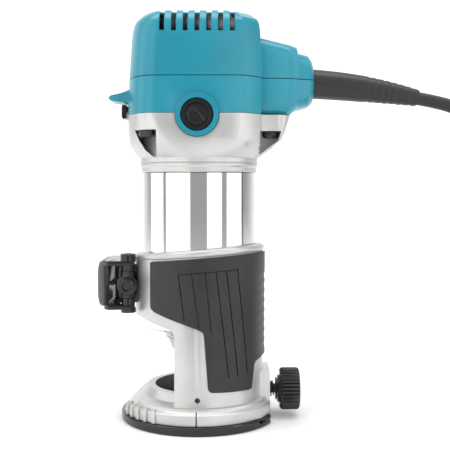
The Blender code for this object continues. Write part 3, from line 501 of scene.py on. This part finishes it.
# From the housing through the guard, a gentle droop, an arc down, a hanging stretch and the landing.
CORD_ROUTE = [
    (HOUSING_END_X + 2, 0.0, guard_line(2)),
    (HOUSING_END_X + 20, 0.0, guard_line(20)),
    (HOUSING_END_X + 40, 0.0, guard_line(40)),
    (GUARD_TIP[0] + 1.2, 0.0, GUARD_TIP[2] - 0.4),
    (134.0, 0.0, 180.0),
    (143.5, 0.0, 177.5),
    (153.0, 0.0, 173.5),
    (161.5, 0.0, 166.2),
    (167.3, 0.0, 156.0),
    (169.8, 0.0, 143.0),
    (170.6, 0.0, 125.0),
    (171.0, 0.5, 107.0),
    (171.1, 3.0, 89.0),
]
LEAD_IN_R = 46.0  # the bend from the hanging stretch on to the coil
COIL_START = 112  # degrees round the coil
DOWN_TURNS = 3.5  # in the outer column
ACROSS_TURNS = 0.35  # the step inwards on the floor
UP_TURNS = 4.15  # in the inner column
CLIMB_END = 3  # degrees round the coil, where the last turn reaches the plug's tail
COIL_OUTER_R = COIL_MIDDLE_R + TURN_PITCH / 2
COIL_INNER_R = COIL_MIDDLE_R - TURN_PITCH / 2
COIL_FLOOR = CORD_R + 0.1
COIL_TOP = CORD_R + 0.1 + DOWN_TURNS * TURN_PITCH


def coil_place(radius, degrees, height):
    """A point at this angle round the coil."""
    around = math.radians(degrees)
    return (COIL_CENTRE[0] + radius * math.cos(around), COIL_CENTRE[1] + radius * math.sin(around), height)


def lead_in_points():
    """Down on to the coil's outer column, on one bend that follows the column round."""
    outer, top = COIL_OUTER_R, COIL_TOP
    points = []
    for degrees in (166, 158, 150, 142, 134, 126, 118, 110):
        before = outer * math.radians(degrees - COIL_START)
        drop = LEAD_IN_R - math.sqrt(LEAD_IN_R**2 - min(before, LEAD_IN_R - 0.4) ** 2)
        points.append(coil_place(outer - 3.2 * ((degrees - COIL_START) / 54) ** 2, degrees, top + drop))
    return points


def climb_points():
    """Up off the inner column to the height of the plug's tail, still on the coil's circle."""
    inner = COIL_INNER_R
    low, high = CORD_R + 0.1 + UP_TURNS * TURN_PITCH, PLUG[2] + 9.0
    points = []
    for step in range(1, 10):
        share = step / 10
        ease = share * share * (3 - 2 * share)
        points.append(
            coil_place(inner, COIL_START + (CLIMB_END - COIL_START) * share, low + (high - low) * ease)
        )
    return points


def coil_points():
    """An outer column of turns down, a step inwards on the floor, and an inner column up."""
    outer, inner = COIL_OUTER_R, COIL_INNER_R
    floor, top = COIL_FLOOR, COIL_TOP
    per_turn = 32
    points = []
    down, across, up = DOWN_TURNS, ACROSS_TURNS, UP_TURNS
    total = down + across + up
    count = int(total * per_turn)
    for i in range(1, count + 1):
        turn = i / per_turn
        if turn < down:
            radius, height = outer, top - TURN_PITCH * turn
        elif turn < down + across:
            share = (turn - down) / across
            ease = share * share * (3 - 2 * share)
            radius, height = outer + (inner - outer) * ease, floor
        else:
            radius, height = inner, floor + TURN_PITCH * (turn - down - across)
        around = math.radians(112) - math.tau * turn
        points.append(
            (
                COIL_CENTRE[0] + radius * math.cos(around), COIL_CENTRE[1] + radius * math.sin(around),
                height
            )
        )
    return points


def make_cord():
    x, y, z = PLUG
    tail = [(x, y + 16.0, z + 9.1)]
    route = CORD_ROUTE + lead_in_points() + coil_points() + climb_points() + tail
    line = bpy.data.curves.new("power_cord_line", "CURVE")
    line.dimensions = "3D"
    line.bevel_depth = CORD_R * MM
    line.bevel_resolution = 5
    line.use_fill_caps = True
    points = smooth(route, 4)
    spline = line.splines.new("POLY")
    spline.points.add(len(points) - 1)
    for slot, point in zip(spline.points, points):
        slot.co = ((point.x + AXIS_X) * MM, point.y * MM, point.z * MM, 1)
    flex = placed(linked("flex", line), "flex", "cord_rubber", "motor", ["power_cord", "cord_coil"])
    guard = make_guard()
    plug = make_plug()
    tie = make_tie()


def make_guard():
    """The tapered strain relief, with shallow relief rings towards its tip."""
    loops = []
    rows = list(GUARD_RADII[:6])
    for i in range(1, 61):
        reach = GUARD_LENGTH * i / 60
        radius = next(
            r0 + (r1 - r0) * (reach - a) / (b - a)
            for (a, r0), (b, r1) in zip(GUARD_RADII[5:], GUARD_RADII[6:])
            if reach <= b + 1e-6
        )
        rows.append((reach, radius - (0.35 if i > 30 and i % 4 == 0 else 0.0)))
    for reach, radius in rows:
        slope = -0.06 - 0.0024 * reach if reach > 0 else 0.0
        loop = []
        for i in range(48):
            t = math.tau * i / 48
            away = radius * math.sin(t)
            loop.append(
                (HOUSING_END_X + reach - slope * away, radius * math.cos(t), guard_line(reach) + away)
            )
        loops.append(loop)
    return placed(loft("guard", loops), "strain_relief", "cord_rubber", "motor", ["cord_guard"], 50)


def make_plug():
    x, y, z = PLUG
    shape = [
        (22, 4.5, 4.5), (19, 4.9, 4.9), (10, 6.2, 6.0), (4, 9.6, 7.8), (0, 12, 9.0), (-14, 13.4, 9.0),
        (-18, 13.0, 8.8)
    ]
    loops = []
    for along, wide, tall in shape:
        corner = min(tall, wide) * 0.62
        outline = rounded_box(wide, wide, tall, corner, corner, 7)
        loops.append([(x + a, y + along, z + 9.1 + b) for a, b in outline])
    plug = loft("plug", loops)
    for i in range(4):
        groove = block("groove", (x - 20, y - 10.5 + 3 * i, z + 17.3), (x + 20, y - 9.3 + 3 * i, z + 20))
        plug = cut(plug, groove)
    return placed(softened(plug, 0.5), "plug_body", "cord_rubber", "motor", ["mains_plug"])


def make_tie():
    """A narrow strap round the coil's bundle."""
    centre, wide, tall = COIL_MIDDLE_R, 7.9, 17.2
    loops = []
    for along in (-3.5, 3.5):
        outer = [(centre + a, tall + b) for a, b in rounded_box(wide + 0.3, wide + 0.3, tall + 0.1, 5, 5, 6)]
        loops.append(
            [(COIL_CENTRE[0] - 0.94 * a - 0.3 * along, -0.34 * a + along, max(b, 0.05)) for a, b in outer]
        )
    strap = loft("strap", loops)
    inner = [(centre + a, tall + b) for a, b in rounded_box(wide - 0.5, wide - 0.5, tall - 0.7, 4.4, 4.4, 6)]
    loops = [[(COIL_CENTRE[0] - 0.94 * a - 0.3 * s, -0.34 * a + s, b) for a, b in inner] for s in (-9, 9)]
    strap = cut(strap, loft("inside", loops))
    return placed(strap, "cord_tie", "black_plastic", "motor", [])


# ---------------------------------------------------------------- the base


def rounded_box(left, right, half, round_left, round_right, count=12):
    return (
        arc((right - round_right, half - round_right), round_right, 0, 90, count)
        + arc((-left + round_left, half - round_left), round_left, 90, 180, count)
        + arc((-left + round_left, -half + round_left), round_left, 180, 270, count)
        + arc((right - round_right, -half + round_right), round_right, 270, 360, count)
    )


def wrapped(name, outline, inner, outer, turn_step=3.0, height_step=None):
    """A plate bent round the spindle axis. Its outline is (degrees from the front towards +X, height)."""
    work = bmesh.new()
    work.faces.new([work.verts.new((a, 0, z)) for a, z in outline])
    slices = [((1, 0, 0), min(a for a, _ in outline), max(a for a, _ in outline), turn_step, 0)]
    if height_step:
        slices.append(((0, 0, 1), min(z for _, z in outline), max(z for _, z in outline), height_step, 2))
    for normal, low, high, step, slot in slices:
        at = math.ceil(low / step) * step
        while at < high:
            place = [0, 0, 0]
            place[slot] = at
            geometry = work.verts[:] + work.edges[:] + work.faces[:]
            bmesh.ops.bisect_plane(work, geom=geometry, plane_co=place, plane_no=normal, dist=1e-6)
            at += step
    made = bmesh.ops.extrude_face_region(work, geom=work.faces[:])
    for item in made["geom"]:
        if isinstance(item, bmesh.types.BMVert):
            item.co.y = 1.0
    for vert in work.verts:
        angle, height = vert.co.x, vert.co.z
        radius = outer if vert.co.y > 0.5 else inner
        radius = radius(angle, height) if callable(radius) else radius
        angle = math.radians(angle)
        vert.co = Vector((radius * math.sin(angle), -radius * math.cos(angle), height))
    bmesh.ops.recalc_face_normals(work, faces=work.faces)
    mesh = bpy.data.meshes.new(name)
    work.to_mesh(mesh)
    work.free()
    return linked(name, mesh)


def collar_rim(angle):
    a = math.radians(angle)
    x, y = COLUMN_R * math.sin(a), -COLUMN_R * math.cos(a)
    return COLLAR_TOP + COLLAR_TILT_X * x + COLLAR_TILT_Y * y


def pad_outline(margin=0.0):
    turn = math.degrees(margin / COLUMN_R)
    top = [(a, collar_rim(a) - 5.0 + margin) for a in range(160, -43, -4)]
    return [
        (164 + turn, 21.5 - margin),
        (164 + turn, collar_rim(164) - 5.0 + margin),
        *top,
        (-43.5 - turn, collar_rim(-43.5) - 5.0 + margin),
        (-43.5 - turn, 67.0 - margin),
        (-42.6 - turn, 65.4 - margin),
        (-39 - turn, 64.0 - margin),
        (-12 - turn, 58.6 - margin),
        (1 - turn, 55.6 - margin),
        (3.6 - turn, 54.9 - margin),
        (5.4 - turn, 53.6 - margin),
        (6.3 - turn, 51.4 - margin),
        (9.4 - turn, 24.6 - margin),
        (10.0 - turn, 22.6 - margin),
        (12 - turn, 21.6 - margin),
        (30, 21.0 - margin),
        (50, 20.5 - margin),
        (52 + turn, 21.4 - margin),
        (55.4 + turn, 33.8 - margin),
        (58 + turn, 35.3 - margin),
        (72, 37.0 - margin),
        (108, 37.0 - margin),
        (122 - turn, 35.3 - margin),
        (124.6 - turn, 33.8 - margin),
        (128 - turn, 21.5 - margin),
    ]


def slant(piece):
    tilt = Matrix.Rotation(
        -math.atan(COLLAR_TILT_X), 4, "Y"
    ) @ Matrix.Rotation(math.atan(COLLAR_TILT_Y), 4, "X")
    return moved(piece, Matrix.Translation((0, 0, COLLAR_TOP)) @ tilt)


def rim_ticks():
    """Five upright ribs on the front of the rim; the centre line is cut into the casting in
    make_base_casting.
    """
    ribs = []
    for a in (-66, -57.5, -49, -41, -33):
        outline = [
            (a - 1.5, 5.0), (a + 1.5, 5.0), (a + 1.3, 11.2), (a + 0.6, 11.9), (a - 0.6, 11.9),
            (a - 1.3, 11.2)
        ]
        ribs.append(wrapped("rib", outline, 40, 43.9, 1.5))
    return ribs


def make_base_casting():
    flange = [(25.5, 4.9), (43, 4.9), (43, 10.2), (42.4, 10.9), (41.0, 11.4), (40.2, 12.2), (39.8, 13.2)]
    flange = turned("flange", [*flange, (34.2, 13.4), (31.6, 14.3), (30.2, 16.2), (29.2, 20), (25.5, 20)])
    column = turned(
        "column",
        [
            (28, 11), (COLUMN_R + 0.6, 11), (COLUMN_R, 17), (COLUMN_R, 112), (BORE_R - 2, 112),
            (BORE_R - 2, 17.4), (28, 17.4)
        ]
    )
    corner = arc((WINDOW_X - 4, 51.2), 4, 0, 76, 9)
    window = prism("window", [(-60, 0), (WINDOW_X, 0), *corner, (-32, 59.6), (-60, 60)], -60, 60, "Y")
    over = slant(block("over", (-80, -80, -1.0), (80, 80, 60)))
    column = cut(column, window, over)
    bead = [(BORE_R - 1, -4.5), (36.0, -4.5), *arc((34.8, -2.3), 2.3, -50, 80, 10)]
    bead = slant(turned("bead", [*bead, (34.4, -0.15), (BORE_R - 1, 0)]))
    guide_block = block("guide_block", (29, -12, 6), (GUIDE_FACE_X + 5, 12, 27.8))
    lugs = block("lugs", (-45, -9.5, 67.5), (-33.5, 9.5, 87.3))
    boss = rod("boss", 8.0, -20, 5, "X", (0, 35.5, 78))
    casting = fused(flange, column, bead, guide_block, lugs, boss)
    tools = [
        rod("bore", BORE_R, 18.8, 130, steps=ROUND),
        block("slit", (-60, -1, 45), (-28, 1, 120)),
        block("side", (GUIDE_FACE_X, -60, -5), (90, 60, 60)),
        kept(
            prism("slope", [(-60, -10.4), (-30.3, 15.3), (-30.3, 40), (-60, 40)], -60, 60, "Y"),
            block("lower", (-70, -70, 0), (0, 70, 30)),
        ),
        wrapped("recess", pad_outline(0.25), 35.2, 44),
        rod("stud_hole", 3.1, 33.8, 60, "X", (0, 0, KNOB_Z)),
        rod("spring_seat", 6.3, 38.2, 60, "X", (0, 0, KNOB_Z)),
        rod("bolt_hole", 2.8, -30, 30, "Y", (LEVER_PIVOT[0], 0, CLAMP_Z)),
        rod("pinion_hole", 5.15, -40, 3.6, "X", (0, 35.5, 78)),
        rod("peep_hole", 1.5, -50, -20, "Y", (0, 0, 17.2)),
        block("centre_line", (-0.8, -46, 4), (-0.1, -38.6, 12)),
        block("rear_line", (-0.8, 38.6, 4), (-0.1, 46, 12)),
    ]
    casting = cut(casting, *tools)
    casting = fused(casting, *rim_ticks())
    return placed(softened(casting, 0.55, 40, 2), "base_body", "cast_aluminium", "base", ["base_casting"])


def pad_radius(angle, height):
    """The pad's outer surface: a constant radius, with scallops for the fingers on its sides."""
    side = max(0.0, 1 - ((angle - 84) / 26) ** 2)
    wave = 0.5 - 0.5 * math.cos(math.tau * height / 5.6)
    return 37.7 - 0.45 * side * wave if 38 < height < 84 else 37.7


def make_pad():
    pad = wrapped("pad", pad_outline(), 35.4, pad_radius, 2.5, 1.4)
    grooves = []
    starts = [-15.5, -4.5, 6.5, 15.5, 24.5, 35.0]
    ends = [(-10.5, 60), (1.5, 56.5), (11.5, 53.5), (26.5, 29), (35.5, 28.5), (46, 30)]
    for top, (bottom, low) in zip(starts, ends):
        high = collar_rim(top) - 12.5
        width = 0.42
        grooves.append(
            [(top - width, high), (top + width, high), (bottom + width, low), (bottom - width, low)]
        )
    line = [(a, collar_rim(a) - 12.0) for a in range(-16, 37, 4)]
    grooves.append([*line, *[(a, h - 0.55) for a, h in reversed(line)]])
    tools = [wrapped("groove", outline, 36.9, 40, 4) for outline in grooves]
    return placed(cut(softened(pad, 0.5, 50, 2), *tools), "grip", "grip_rubber", "base", ["grip_pad"])


def make_sole():
    plate = [
        (15, 0), (SOLE_R - 0.7, 0), (SOLE_R, 0.7), (SOLE_R, 4.0), (SOLE_R - 0.5, 4.6), (15.6, 4.6),
        (15, 4.0)
    ]
    plate = turned("plate", plate)
    places = [(25.5 * a, 25.5 * b) for a in (-1, 1) for b in (-1, 1)]
    tools = [block("side", (GUIDE_FACE_X, -60, -5), (90, 60, 60))]
    for x, y in places:
        tools.append(rod("hole", 2.2, -1, 9, "Z", (x, y, 0)))
        tools.append(rod("sink", 4.1, -1, 3.2, "Z", (x, y, 0)))
    tools.append(block("notch", (33.6, -60, 2.4), (60, -22, 9)))
    return placed(
        softened(cut(plate, *tools), 0.25, 50, 2), "sole_plate", "black_plastic", "base", ["sub_base"]
    )


def make_lever():
    x, y = LEVER_PIVOT
    wall = [(-52.4, -17), (-50, -20), (-37.5, -19.2), (-35.3, -16.9), (-36.7, -12.5), (-39.6, -9)]
    wall += [(-43, -2), (-47.5, 8), (-47.5, 18), (-52.4, 18)]
    outer = block("outer", (-52.4, -17, 63.7), (-49.9, 18, 90.7))
    plates = [prism("plate", wall, a, b) for a, b in ((88.2, 90.7), (63.7, 66.2))]
    ears = [rod("ear", 4.2, a, b, "Z", (x, y, 0)) for a, b in ((61.8, 64.5), (90.0, 94.6))]
    cams = [rod("cam", 3.7, a, b, "Z", (x, y, 0)) for a, b in ((65.5, 69.8), (85.0, 89.0))]
    back = block("back", (-51, 15.6, 64.5), (-47.5, 18, 90.0))
    rib = block("rib", (-50.6, -14, 76.6), (-47.6, 17, 78.2))
    handle = fused(outer, *plates, *ears, *cams, back, rib)
    handle = cut(handle, rod("hole", 2.5, 50, 110, "Z", (x, y, 0)))
    placed(softened(handle, 0.45, 40, 2), "lever_arm", "black_plastic", "lever", ["lock_lever"])

    corner = 4.5
    loops = []
    for depth, wide, tall in (
        (-52.7, 17.8, 12.9), (-54.3, 17.8, 12.9), (-55.9, 17.0, 12.2), (-56.9, 14.4, 9.8),
        (-57.3, 10.5, 6.4)
    ):
        outline = rounded_box(wide, wide, tall, min(corner, tall - 1), min(corner, tall - 1), 8)
        loops.append([(depth, a + 4, b + 77.3) for a, b in outline])
    paddle = loft("paddle", loops)
    lines = [block("line", (-60, -8 + 4 * i, 69), (-56.75, -7.2 + 4 * i, 85.5)) for i in range(7)]
    placed(cut(paddle, *lines), "lever_pad", "grey_plastic", "lever", ["lever_paddle"], 45)


def make_clamp_nut():
    centre = (LEVER_PIVOT[0], 0, CLAMP_Z)
    flange = turned(
        "flange", [(2.8, -20.6), (5.2, -20.6), (5.6, -20.2), (5.6, -19.4), (2.8, -19.4)], 64, "Y", centre
    )
    collar = turned(
        "collar", [(2.75, -23.4), (3.3, -23.6), (3.9, -23.3), (4.1, -22.8), (4.1, -20.2), (2.75, -20.2)],
        64, "Y", centre
    )
    placed(
        softened(fused(flange, collar), 0.12, 40, 2), "flange_nut", "black_plastic", "base", ["clamp_nut"]
    )
    plate = prism("plate", [(-45.2, 66.6), (-33.3, 66.6), (-33.3, 88.2), (-45.2, 88.2)], -10.6, -9.7, "Y")
    plate = cut(plate, rod("hole", 2.9, -14, -5, "Y", centre))
    placed(softened(plate, 0.3, 40, 2), "thrust_plate", "black_plastic", "base", [])


def make_guide_knob():
    """A ribbed knob with a dished end and a hub."""
    count, loops = 34, []
    for along, shrink, depth in (
        (46.2, 1.4, 0.2), (47.0, 0.3, 0.75), (48, 0, 0.85), (56, 0, 0.85), (57.2, 0.4, 0.6),
        (57.7, 1.5, 0.0)
    ):
        loop = []
        for i in range(count * 8):
            around = math.tau * i / (count * 8)
            wave = (0.5 + 0.5 * math.cos(count * around)) ** 0.6
            radius = 12.05 - shrink - depth * (1 - wave)
            loop.append(turned_to("X", radius, around, along))
        loops.append([(a, b, c + KNOB_Z) for a, b, c in loop])
    knob = loft("knob", loops)
    hub = turned(
        "hub", [(0, 45.0), (7.5, 45.0), (7.9, 45.4), (7.9, 47.5), (0, 47.5)], 64, "X", (0, 0, KNOB_Z)
    )
    dish = turned("dish", [(0, 57.0), (8.6, 57.0), (9.6, 60), (0, 60)], 64, "X", (0, 0, KNOB_Z))
    knob = cut(fused(knob, hub), dish, rod("socket", 3.1, 40, 52.3, "X", (0, 0, KNOB_Z)))
    placed(knob, "clamp_knob", "black_plastic", "guide_clamp_knob", ["guide_knob"], 40)
    washer = turned(
        "washer", [(3.1, 43.9), (6.1, 43.9), (6.4, 44.1), (6.4, 44.5), (6.1, 44.7), (3.1, 44.7)], 64, "X",
        (0, 0, KNOB_Z)
    )
    placed(washer, "clamp_washer", "black_steel", "guide_clamp_washer", ["guide_washer"])
    spring = coil("spring", 5.2, 3.75, 0.4, 38.6, 43.6, 3.0, "X", (0, 0, KNOB_Z))
    placed(spring, "clamp_spring", "black_steel", "base", ["guide_spring"], 60)


def coil(name, radius, end_radius, wire, low, high, turns, axis, centre):
    per_turn = 40
    count = int(turns * per_turn)
    loops = []
    for i in range(count + 1):
        around = math.tau * i / per_turn
        along = low + wire + (high - low - 2 * wire) * i / count
        middle = radius + (end_radius - radius) * i / count
        loop = []
        for k in range(10):
            t = math.tau * k / 10
            place = turned_to(axis, middle + wire * math.cos(t), around, along + wire * math.sin(t))
            loop.append([p + c for p, c in zip(place, centre)])
        loops.append(loop)
    return loft(name, loops)


# ---------------------------------------------------------------- the motor's housings

BRACKET = [
    (145.8, 32.4, 32.4, 32.4, 32.4, 32.4, 0),
    (147.3, 33.0, 33.0, 33.0, 33.0, 33.0, 0),
    (149.4, 35.4, 33.9, 34.2, 31, 30, 0.15),
    (154.7, 38.6, 34.7, 35.2, 26, 23, 0.5),
    (157.4, 39.5, 34.8, 35.4, 24, 20, 0.7),
    (163.3, 39.8, 34.7, 35.4, 20, 15, 1),
    (FLANGE_TOP, 40.0, 34.5, 35.2, 17.1, 12.5, 1),
]
EAR = [
    (147.8, 20, 33.6, 13, 2, 4),
    (151.5, 20, 38.9, 17, 2, 4),
    (157.4, 20, 45.8, 20, 2, 4),
    (161.4, 20, 47.6, 20.5, 2, 4),
    (FLANGE_TOP, 20, 50.7, 21, 2, 8),
]
COVER = [
    (PARTING_Z - 21, 40.0, 34.5, 35, 17.1, 12.5, 1),
    (PARTING_Z, 39.2, 34.5, 35, 17.1, 12.5, 1),
    (200.7, 38.5, 34.4, 34.6, 16.8, 12.5, 1),
    (213.5, 37.6, 34.0, 33.8, 16.4, 12.5, 1),
    (219.5, 36.8, 33.4, 32.8, 16, 12.5, 1),
    (222.3, 35.6, 32.4, 31.2, 15.5, 12.5, 1),
    (225.6, 32.0, 28.8, 27.4, 14, 12.5, 1),
    (227.0, 28.8, 26.2, 24.6, 12.5, 12.5, 1),
    (COVER_TOP, 26.0, 23.6, 22.0, 11, 12.5, 1),
]
# Outlines, seen from the front, of the pockets round the housing screws
LEFT_POCKET = [(-21.7, 147.8), (-24.1, 148.1), (-28.4, 151.6), (-31.7, 157), (-34.0, 162.3), (-21.7, 162.3)]
RIGHT_POCKET = [(33.8, 149.6), (35, 150.3), (44.0, 157.0), (45.6, 162.3), (33.8, 162.3)]
OUTLET = [
    (28, 170.0, 215.0, 21.5, 8),
    (35.5, 170.0, 213.5, 21.2, 8),
    (48.5, 170.0, 210.4, 20.6, 8),
    (50.9, 171.6, 209.9, 19.8, 8),
    (54.4, 175.0, 209.0, 17.8, 8),
    (55.6, 175.3, 205.9, 16.6, 8),
    (61.1, 176.5, 204.9, 14.8, 9),
    (63.5, 178.4, 202.4, 12.4, 10),
    (HOUSING_END_X, 180.2, 200.2, 10.1, 9.6),
]
SHELL_SCREWS = [(-27.5, 26.5), (-27.5, -26.5), (40, 13.5), (40, -13.5)]


def shell_outline(left, right, half, nose, corner, facet):
    """A housing seen from above: half an ellipse at -X, and corners at +X from round (0) to faceted (1)."""
    flat = [(0, 10.4), (0.6, 9.5), (4.4, 5.6), (8.2, 1.6), (8.8, 1.1), (9.6, 0.9), (11.4, 0.25), (12, 0)]
    bent = arc((right - corner, half - corner), corner, 0, 90, len(flat))
    side = [(x + (right - a - x) * facet, y + (half - b - y) * facet) for (x, y), (a, b) in zip(bent, flat)]
    steps = [math.pi * i / 48 for i in range(49)]
    bow = [(-left + nose - nose * math.sin(t), half * math.cos(t)) for t in steps]
    return side + bow + [(x, -y) for x, y in reversed(side)]


def sections(rows, outline, inset=0.0):
    """Loops for a housing: each row is a height, the five sizes of its outline and anything unchanged."""
    loops = []
    for z, *sizes in rows:
        shrunk = [size - inset for size in sizes[:5]]
        loops.append([(x, y, z) for x, y in outline(*shrunk, *sizes[5:])])
    return loops


def outlet_loops(inset=0.0, end=None):
    loops = []
    for x, low, high, half, corner in OUTLET:
        if end is not None and x > end:
            break
        middle, tall = (low + high) / 2, (high - low) / 2
        outline = rounded_box(half - inset, half - inset, tall - inset, corner - inset, corner - inset, 9)
        loops.append([(x, a, middle + b) for a, b in outline])
    return loops


def housing_shell(low, high):
    body = fused(loft("main", sections(COVER, shell_outline)), loft("outlet", outlet_loops()))
    rows = [(PARTING_Z - 30, *COVER[0][1:]), *COVER[1:6], (COVER_TOP - 2.5, *COVER[6][1:])]
    throat = loft("throat", outlet_loops(2.5, 61.5))
    hollow = fused(loft("hollow", sections(rows, shell_outline, 2.9)), throat)
    body = cut(body, hollow, rod("cord_hole", 8.7, 55, 70, "X", (0, 0, CORD_Z)))
    return kept(body, block("between", (-90, -90, low), (120, 90, high)))


def make_top_cover():
    shell = housing_shell(PARTING_Z + 0.2, COVER_TOP + 5)
    tools = []
    for i in range(-3, 4):
        x = i * VENT_PITCH
        tools.append(block("vent", (x - 1.35, -50, 214.3), (x + 1.35, -20, 240)))
        tools.append(block("vent", (x - 1.35, 20, 207.5), (x + 1.35, 50, 220)))
    tools.append(block("vent_step", (-25.4, -40, 226.4), (23.4, -15, 235)))
    tools.append(block("dial_slot", (-21, 24, 199.8), (-3, 50, 206.2)))
    placed(softened(cut(shell, *tools), 0.6, 24, 3), "upper_shell", "teal_plastic", "motor", ["top_cover"])


def make_housing_body():
    shell = housing_shell(FLANGE_TOP + 0.25, PARTING_Z - 0.2)
    hood = [(-37.8, 186.4), (-40.2, 185.0), (-43.5, 183.9), (-49.0, 182.7), (-50.0, 181.8), (-50.0, 180.6)]
    hood += [(-49.2, 179.9), (-43, 178.9), (-37.8, 178.2)]
    additions = [prism("hood", hood, -10.5, 10.5, "Y")]
    for side in (-1, 1):
        low, high = sorted((side * 30.2, side * 37.4))
        additions.append(rod("lobe", 11.4, low, high, "Y", (0, 0, BRUSH_Z), 96))
    shell = fused(shell, *additions)
    tools = []
    for side in (-1, 1):
        low, high = sorted((side * 34.4, side * 50))
        tools.append(rod("seat", 8.8, low, high, "Y", (0, 0, BRUSH_Z), 96))
        low, high = sorted((side * 20, side * 50))
        tools.append(rod("holder", 6.2, low, high, "Y", (0, 0, BRUSH_Z)))
    tools.append(block("switch_hole", (-60, -6.1, 172.3), (-36, 6.1, 178.0)))
    placed(
        softened(cut(shell, *tools), 0.5, 30, 3), "lower_shell", "teal_plastic", "motor", ["housing_body"]
    )


def make_bracket():
    body, ear = sections(BRACKET, shell_outline), sections(EAR, rounded_box)
    neck = [(28.6, 139.7), (32.2, 139.7), (32.7, 140.4), (32.7, 142.4), (33.4, 143.4), (33.4, 144.6)]
    neck = turned("neck", [*neck, (33.0, 145.0), (33.4, 145.4), (33.4, 149), (28.6, 149)])
    bracket = fused(loft("bracket", body), loft("ear", ear))
    pockets = [prism("left", LEFT_POCKET, low, high, "Y") for low, high in ((-60, -8), (8, 60))]
    pockets += [prism("right", RIGHT_POCKET, low, high, "Y") for low, high in ((-60, -6), (6, 60))]
    pockets = [cut(pocket, rod("core", 33.2, 130, 170, steps=ROUND)) for pocket in pockets]
    bracket = cut(bracket, *pockets)
    bracket = fused(cut(bracket, rod("bore", 28.6, 120, 200, steps=ROUND)), neck)
    tools = [rod("hole", 2.3, 150, 180, "Z", (x, y, 0)) for x, y in SHELL_SCREWS]
    for side in (-1, 1):
        low, high = sorted((side * 29.9, side * 60))
        tools.append(rod("lobe", 11.7, low, high, "Y", (0, 0, BRUSH_Z), 96))
    bracket = softened(cut(bracket, *tools), 0.5, 34, 3)
    placed(bracket, "motor_bracket", "cast_aluminium", "motor", ["motor_housing"])


def make_drum():
    wall = [(28.6, 53.0), (31.9, 53.0), (DRUM_R, 53.6), (DRUM_R, 139.4), (28.6, 139.4)]
    tools = [block("rack_flat", (-4.4, 31.95, 68), (4.4, 40, 121))]
    pitch = math.pi * 0.8
    for i in range(20):
        z = 78.0 + (i - 3) * pitch
        slot = [(34, z - 1.51), (34, z + 1.51), (30.5, z + 0.28), (30.5, z - 0.28)]
        tools.append(prism("rack_slot", slot, -4.4, 4.4, "X"))
    placed(cut(turned("drum", wall), *tools), "motor_drum", "polished_aluminium", "motor", [])


def make_nose():
    """The motor's lower end: a stepped cone round the spindle's bearing."""
    steps = [(9.2, 38.2), (14.2, 38.2), (15.4, 39.2), (16.4, 41), (15.9, 41.4), (17.6, 43.4), (17.2, 43.9)]
    steps += [(19.1, 46), (18.7, 46.5), (20.8, 48.8), (22.2, 50), (24.4, 51.4), (24.4, 52.5), (31.7, 52.5)]
    nose = turned(
        "nose", [*steps, (31.7, 52.9), (28.5, 52.9), (28.5, 56), (14.25, 56), (14.25, 44.2), (9.2, 44.2)]
    )
    tools = []
    for i in range(6):
        a, b = 60 * i + 10, 60 * i + 50
        outline = arc((0, 0), 27.9, a, b, 9) + arc((0, 0), 24.9, b, a, 9)
        tools.append(prism("vent", outline, 50, 58))
    for radius, start in ((1.85, 5), (2.8, 13.3), (3.75, 16.3)):
        tools.append(rotated(rod("lock_hole", radius, start, 30, "X", (0, 0, 41.2)), 122))
    placed(softened(cut(nose, *tools), 0.2, 40, 2), "motor_nose", "cast_aluminium", "motor", [])


def make_brush_caps():
    for side, label in ((-1, "front"), (1, "rear")):
        outline = [(0, 30.1), (4.2, 30.1), (4.2, 34.7), (8.4, 34.7), (8.4, 36.6), (8.0, 37.1), (6.6, 37.1)]
        outline += [(6.3, 36.1), (5.8, 36.1), (5.4, 36.9), (0, 36.9)]
        centre = (0, 0, BRUSH_Z)
        cap = turned("cap", [(r, side * y) for r, y in outline], 72, "Y", centre)
        low, high = sorted((side * 35.6, side * 40))
        slot = shifted(
            rotated(block("slot", (-5.2, low, -0.85), (5.2, high, 0.85)), 45 if side < 0 else -45, "Y"),
            z=BRUSH_Z
        )
        placed(
            softened(cut(cap, slot), 0.18, 40, 2), f"cap_{label}", "black_plastic", "motor",
            [f"brush_cap_{label}"]
        )


# ---------------------------------------------------------------- assembly


def dress_nodes():
    """Every CAD node that still shows gets the material of its slot."""
    slots = {part["node"]: part["material_slot"] for part in frame["record"]["subparts"]}
    for name, node in frame["nodes"].items():
        node.data.materials.clear()
        node.data.materials.append(MATERIALS[slots[name]])
        node.data.shade_smooth()
        node.data.set_sharp_from_angle(angle=math.radians(32))


bpy.context.scene.view_settings.view_transform = "Standard"
MATERIALS = make_materials()
make_camera()
make_cord()
make_stage()
make_light()
dress_nodes()
make_base_casting()
make_pad()
make_sole()
make_lever()
make_clamp_nut()
make_guide_knob()
make_top_cover()
make_housing_body()
make_bracket()
make_drum()
make_nose()
make_brush_caps()
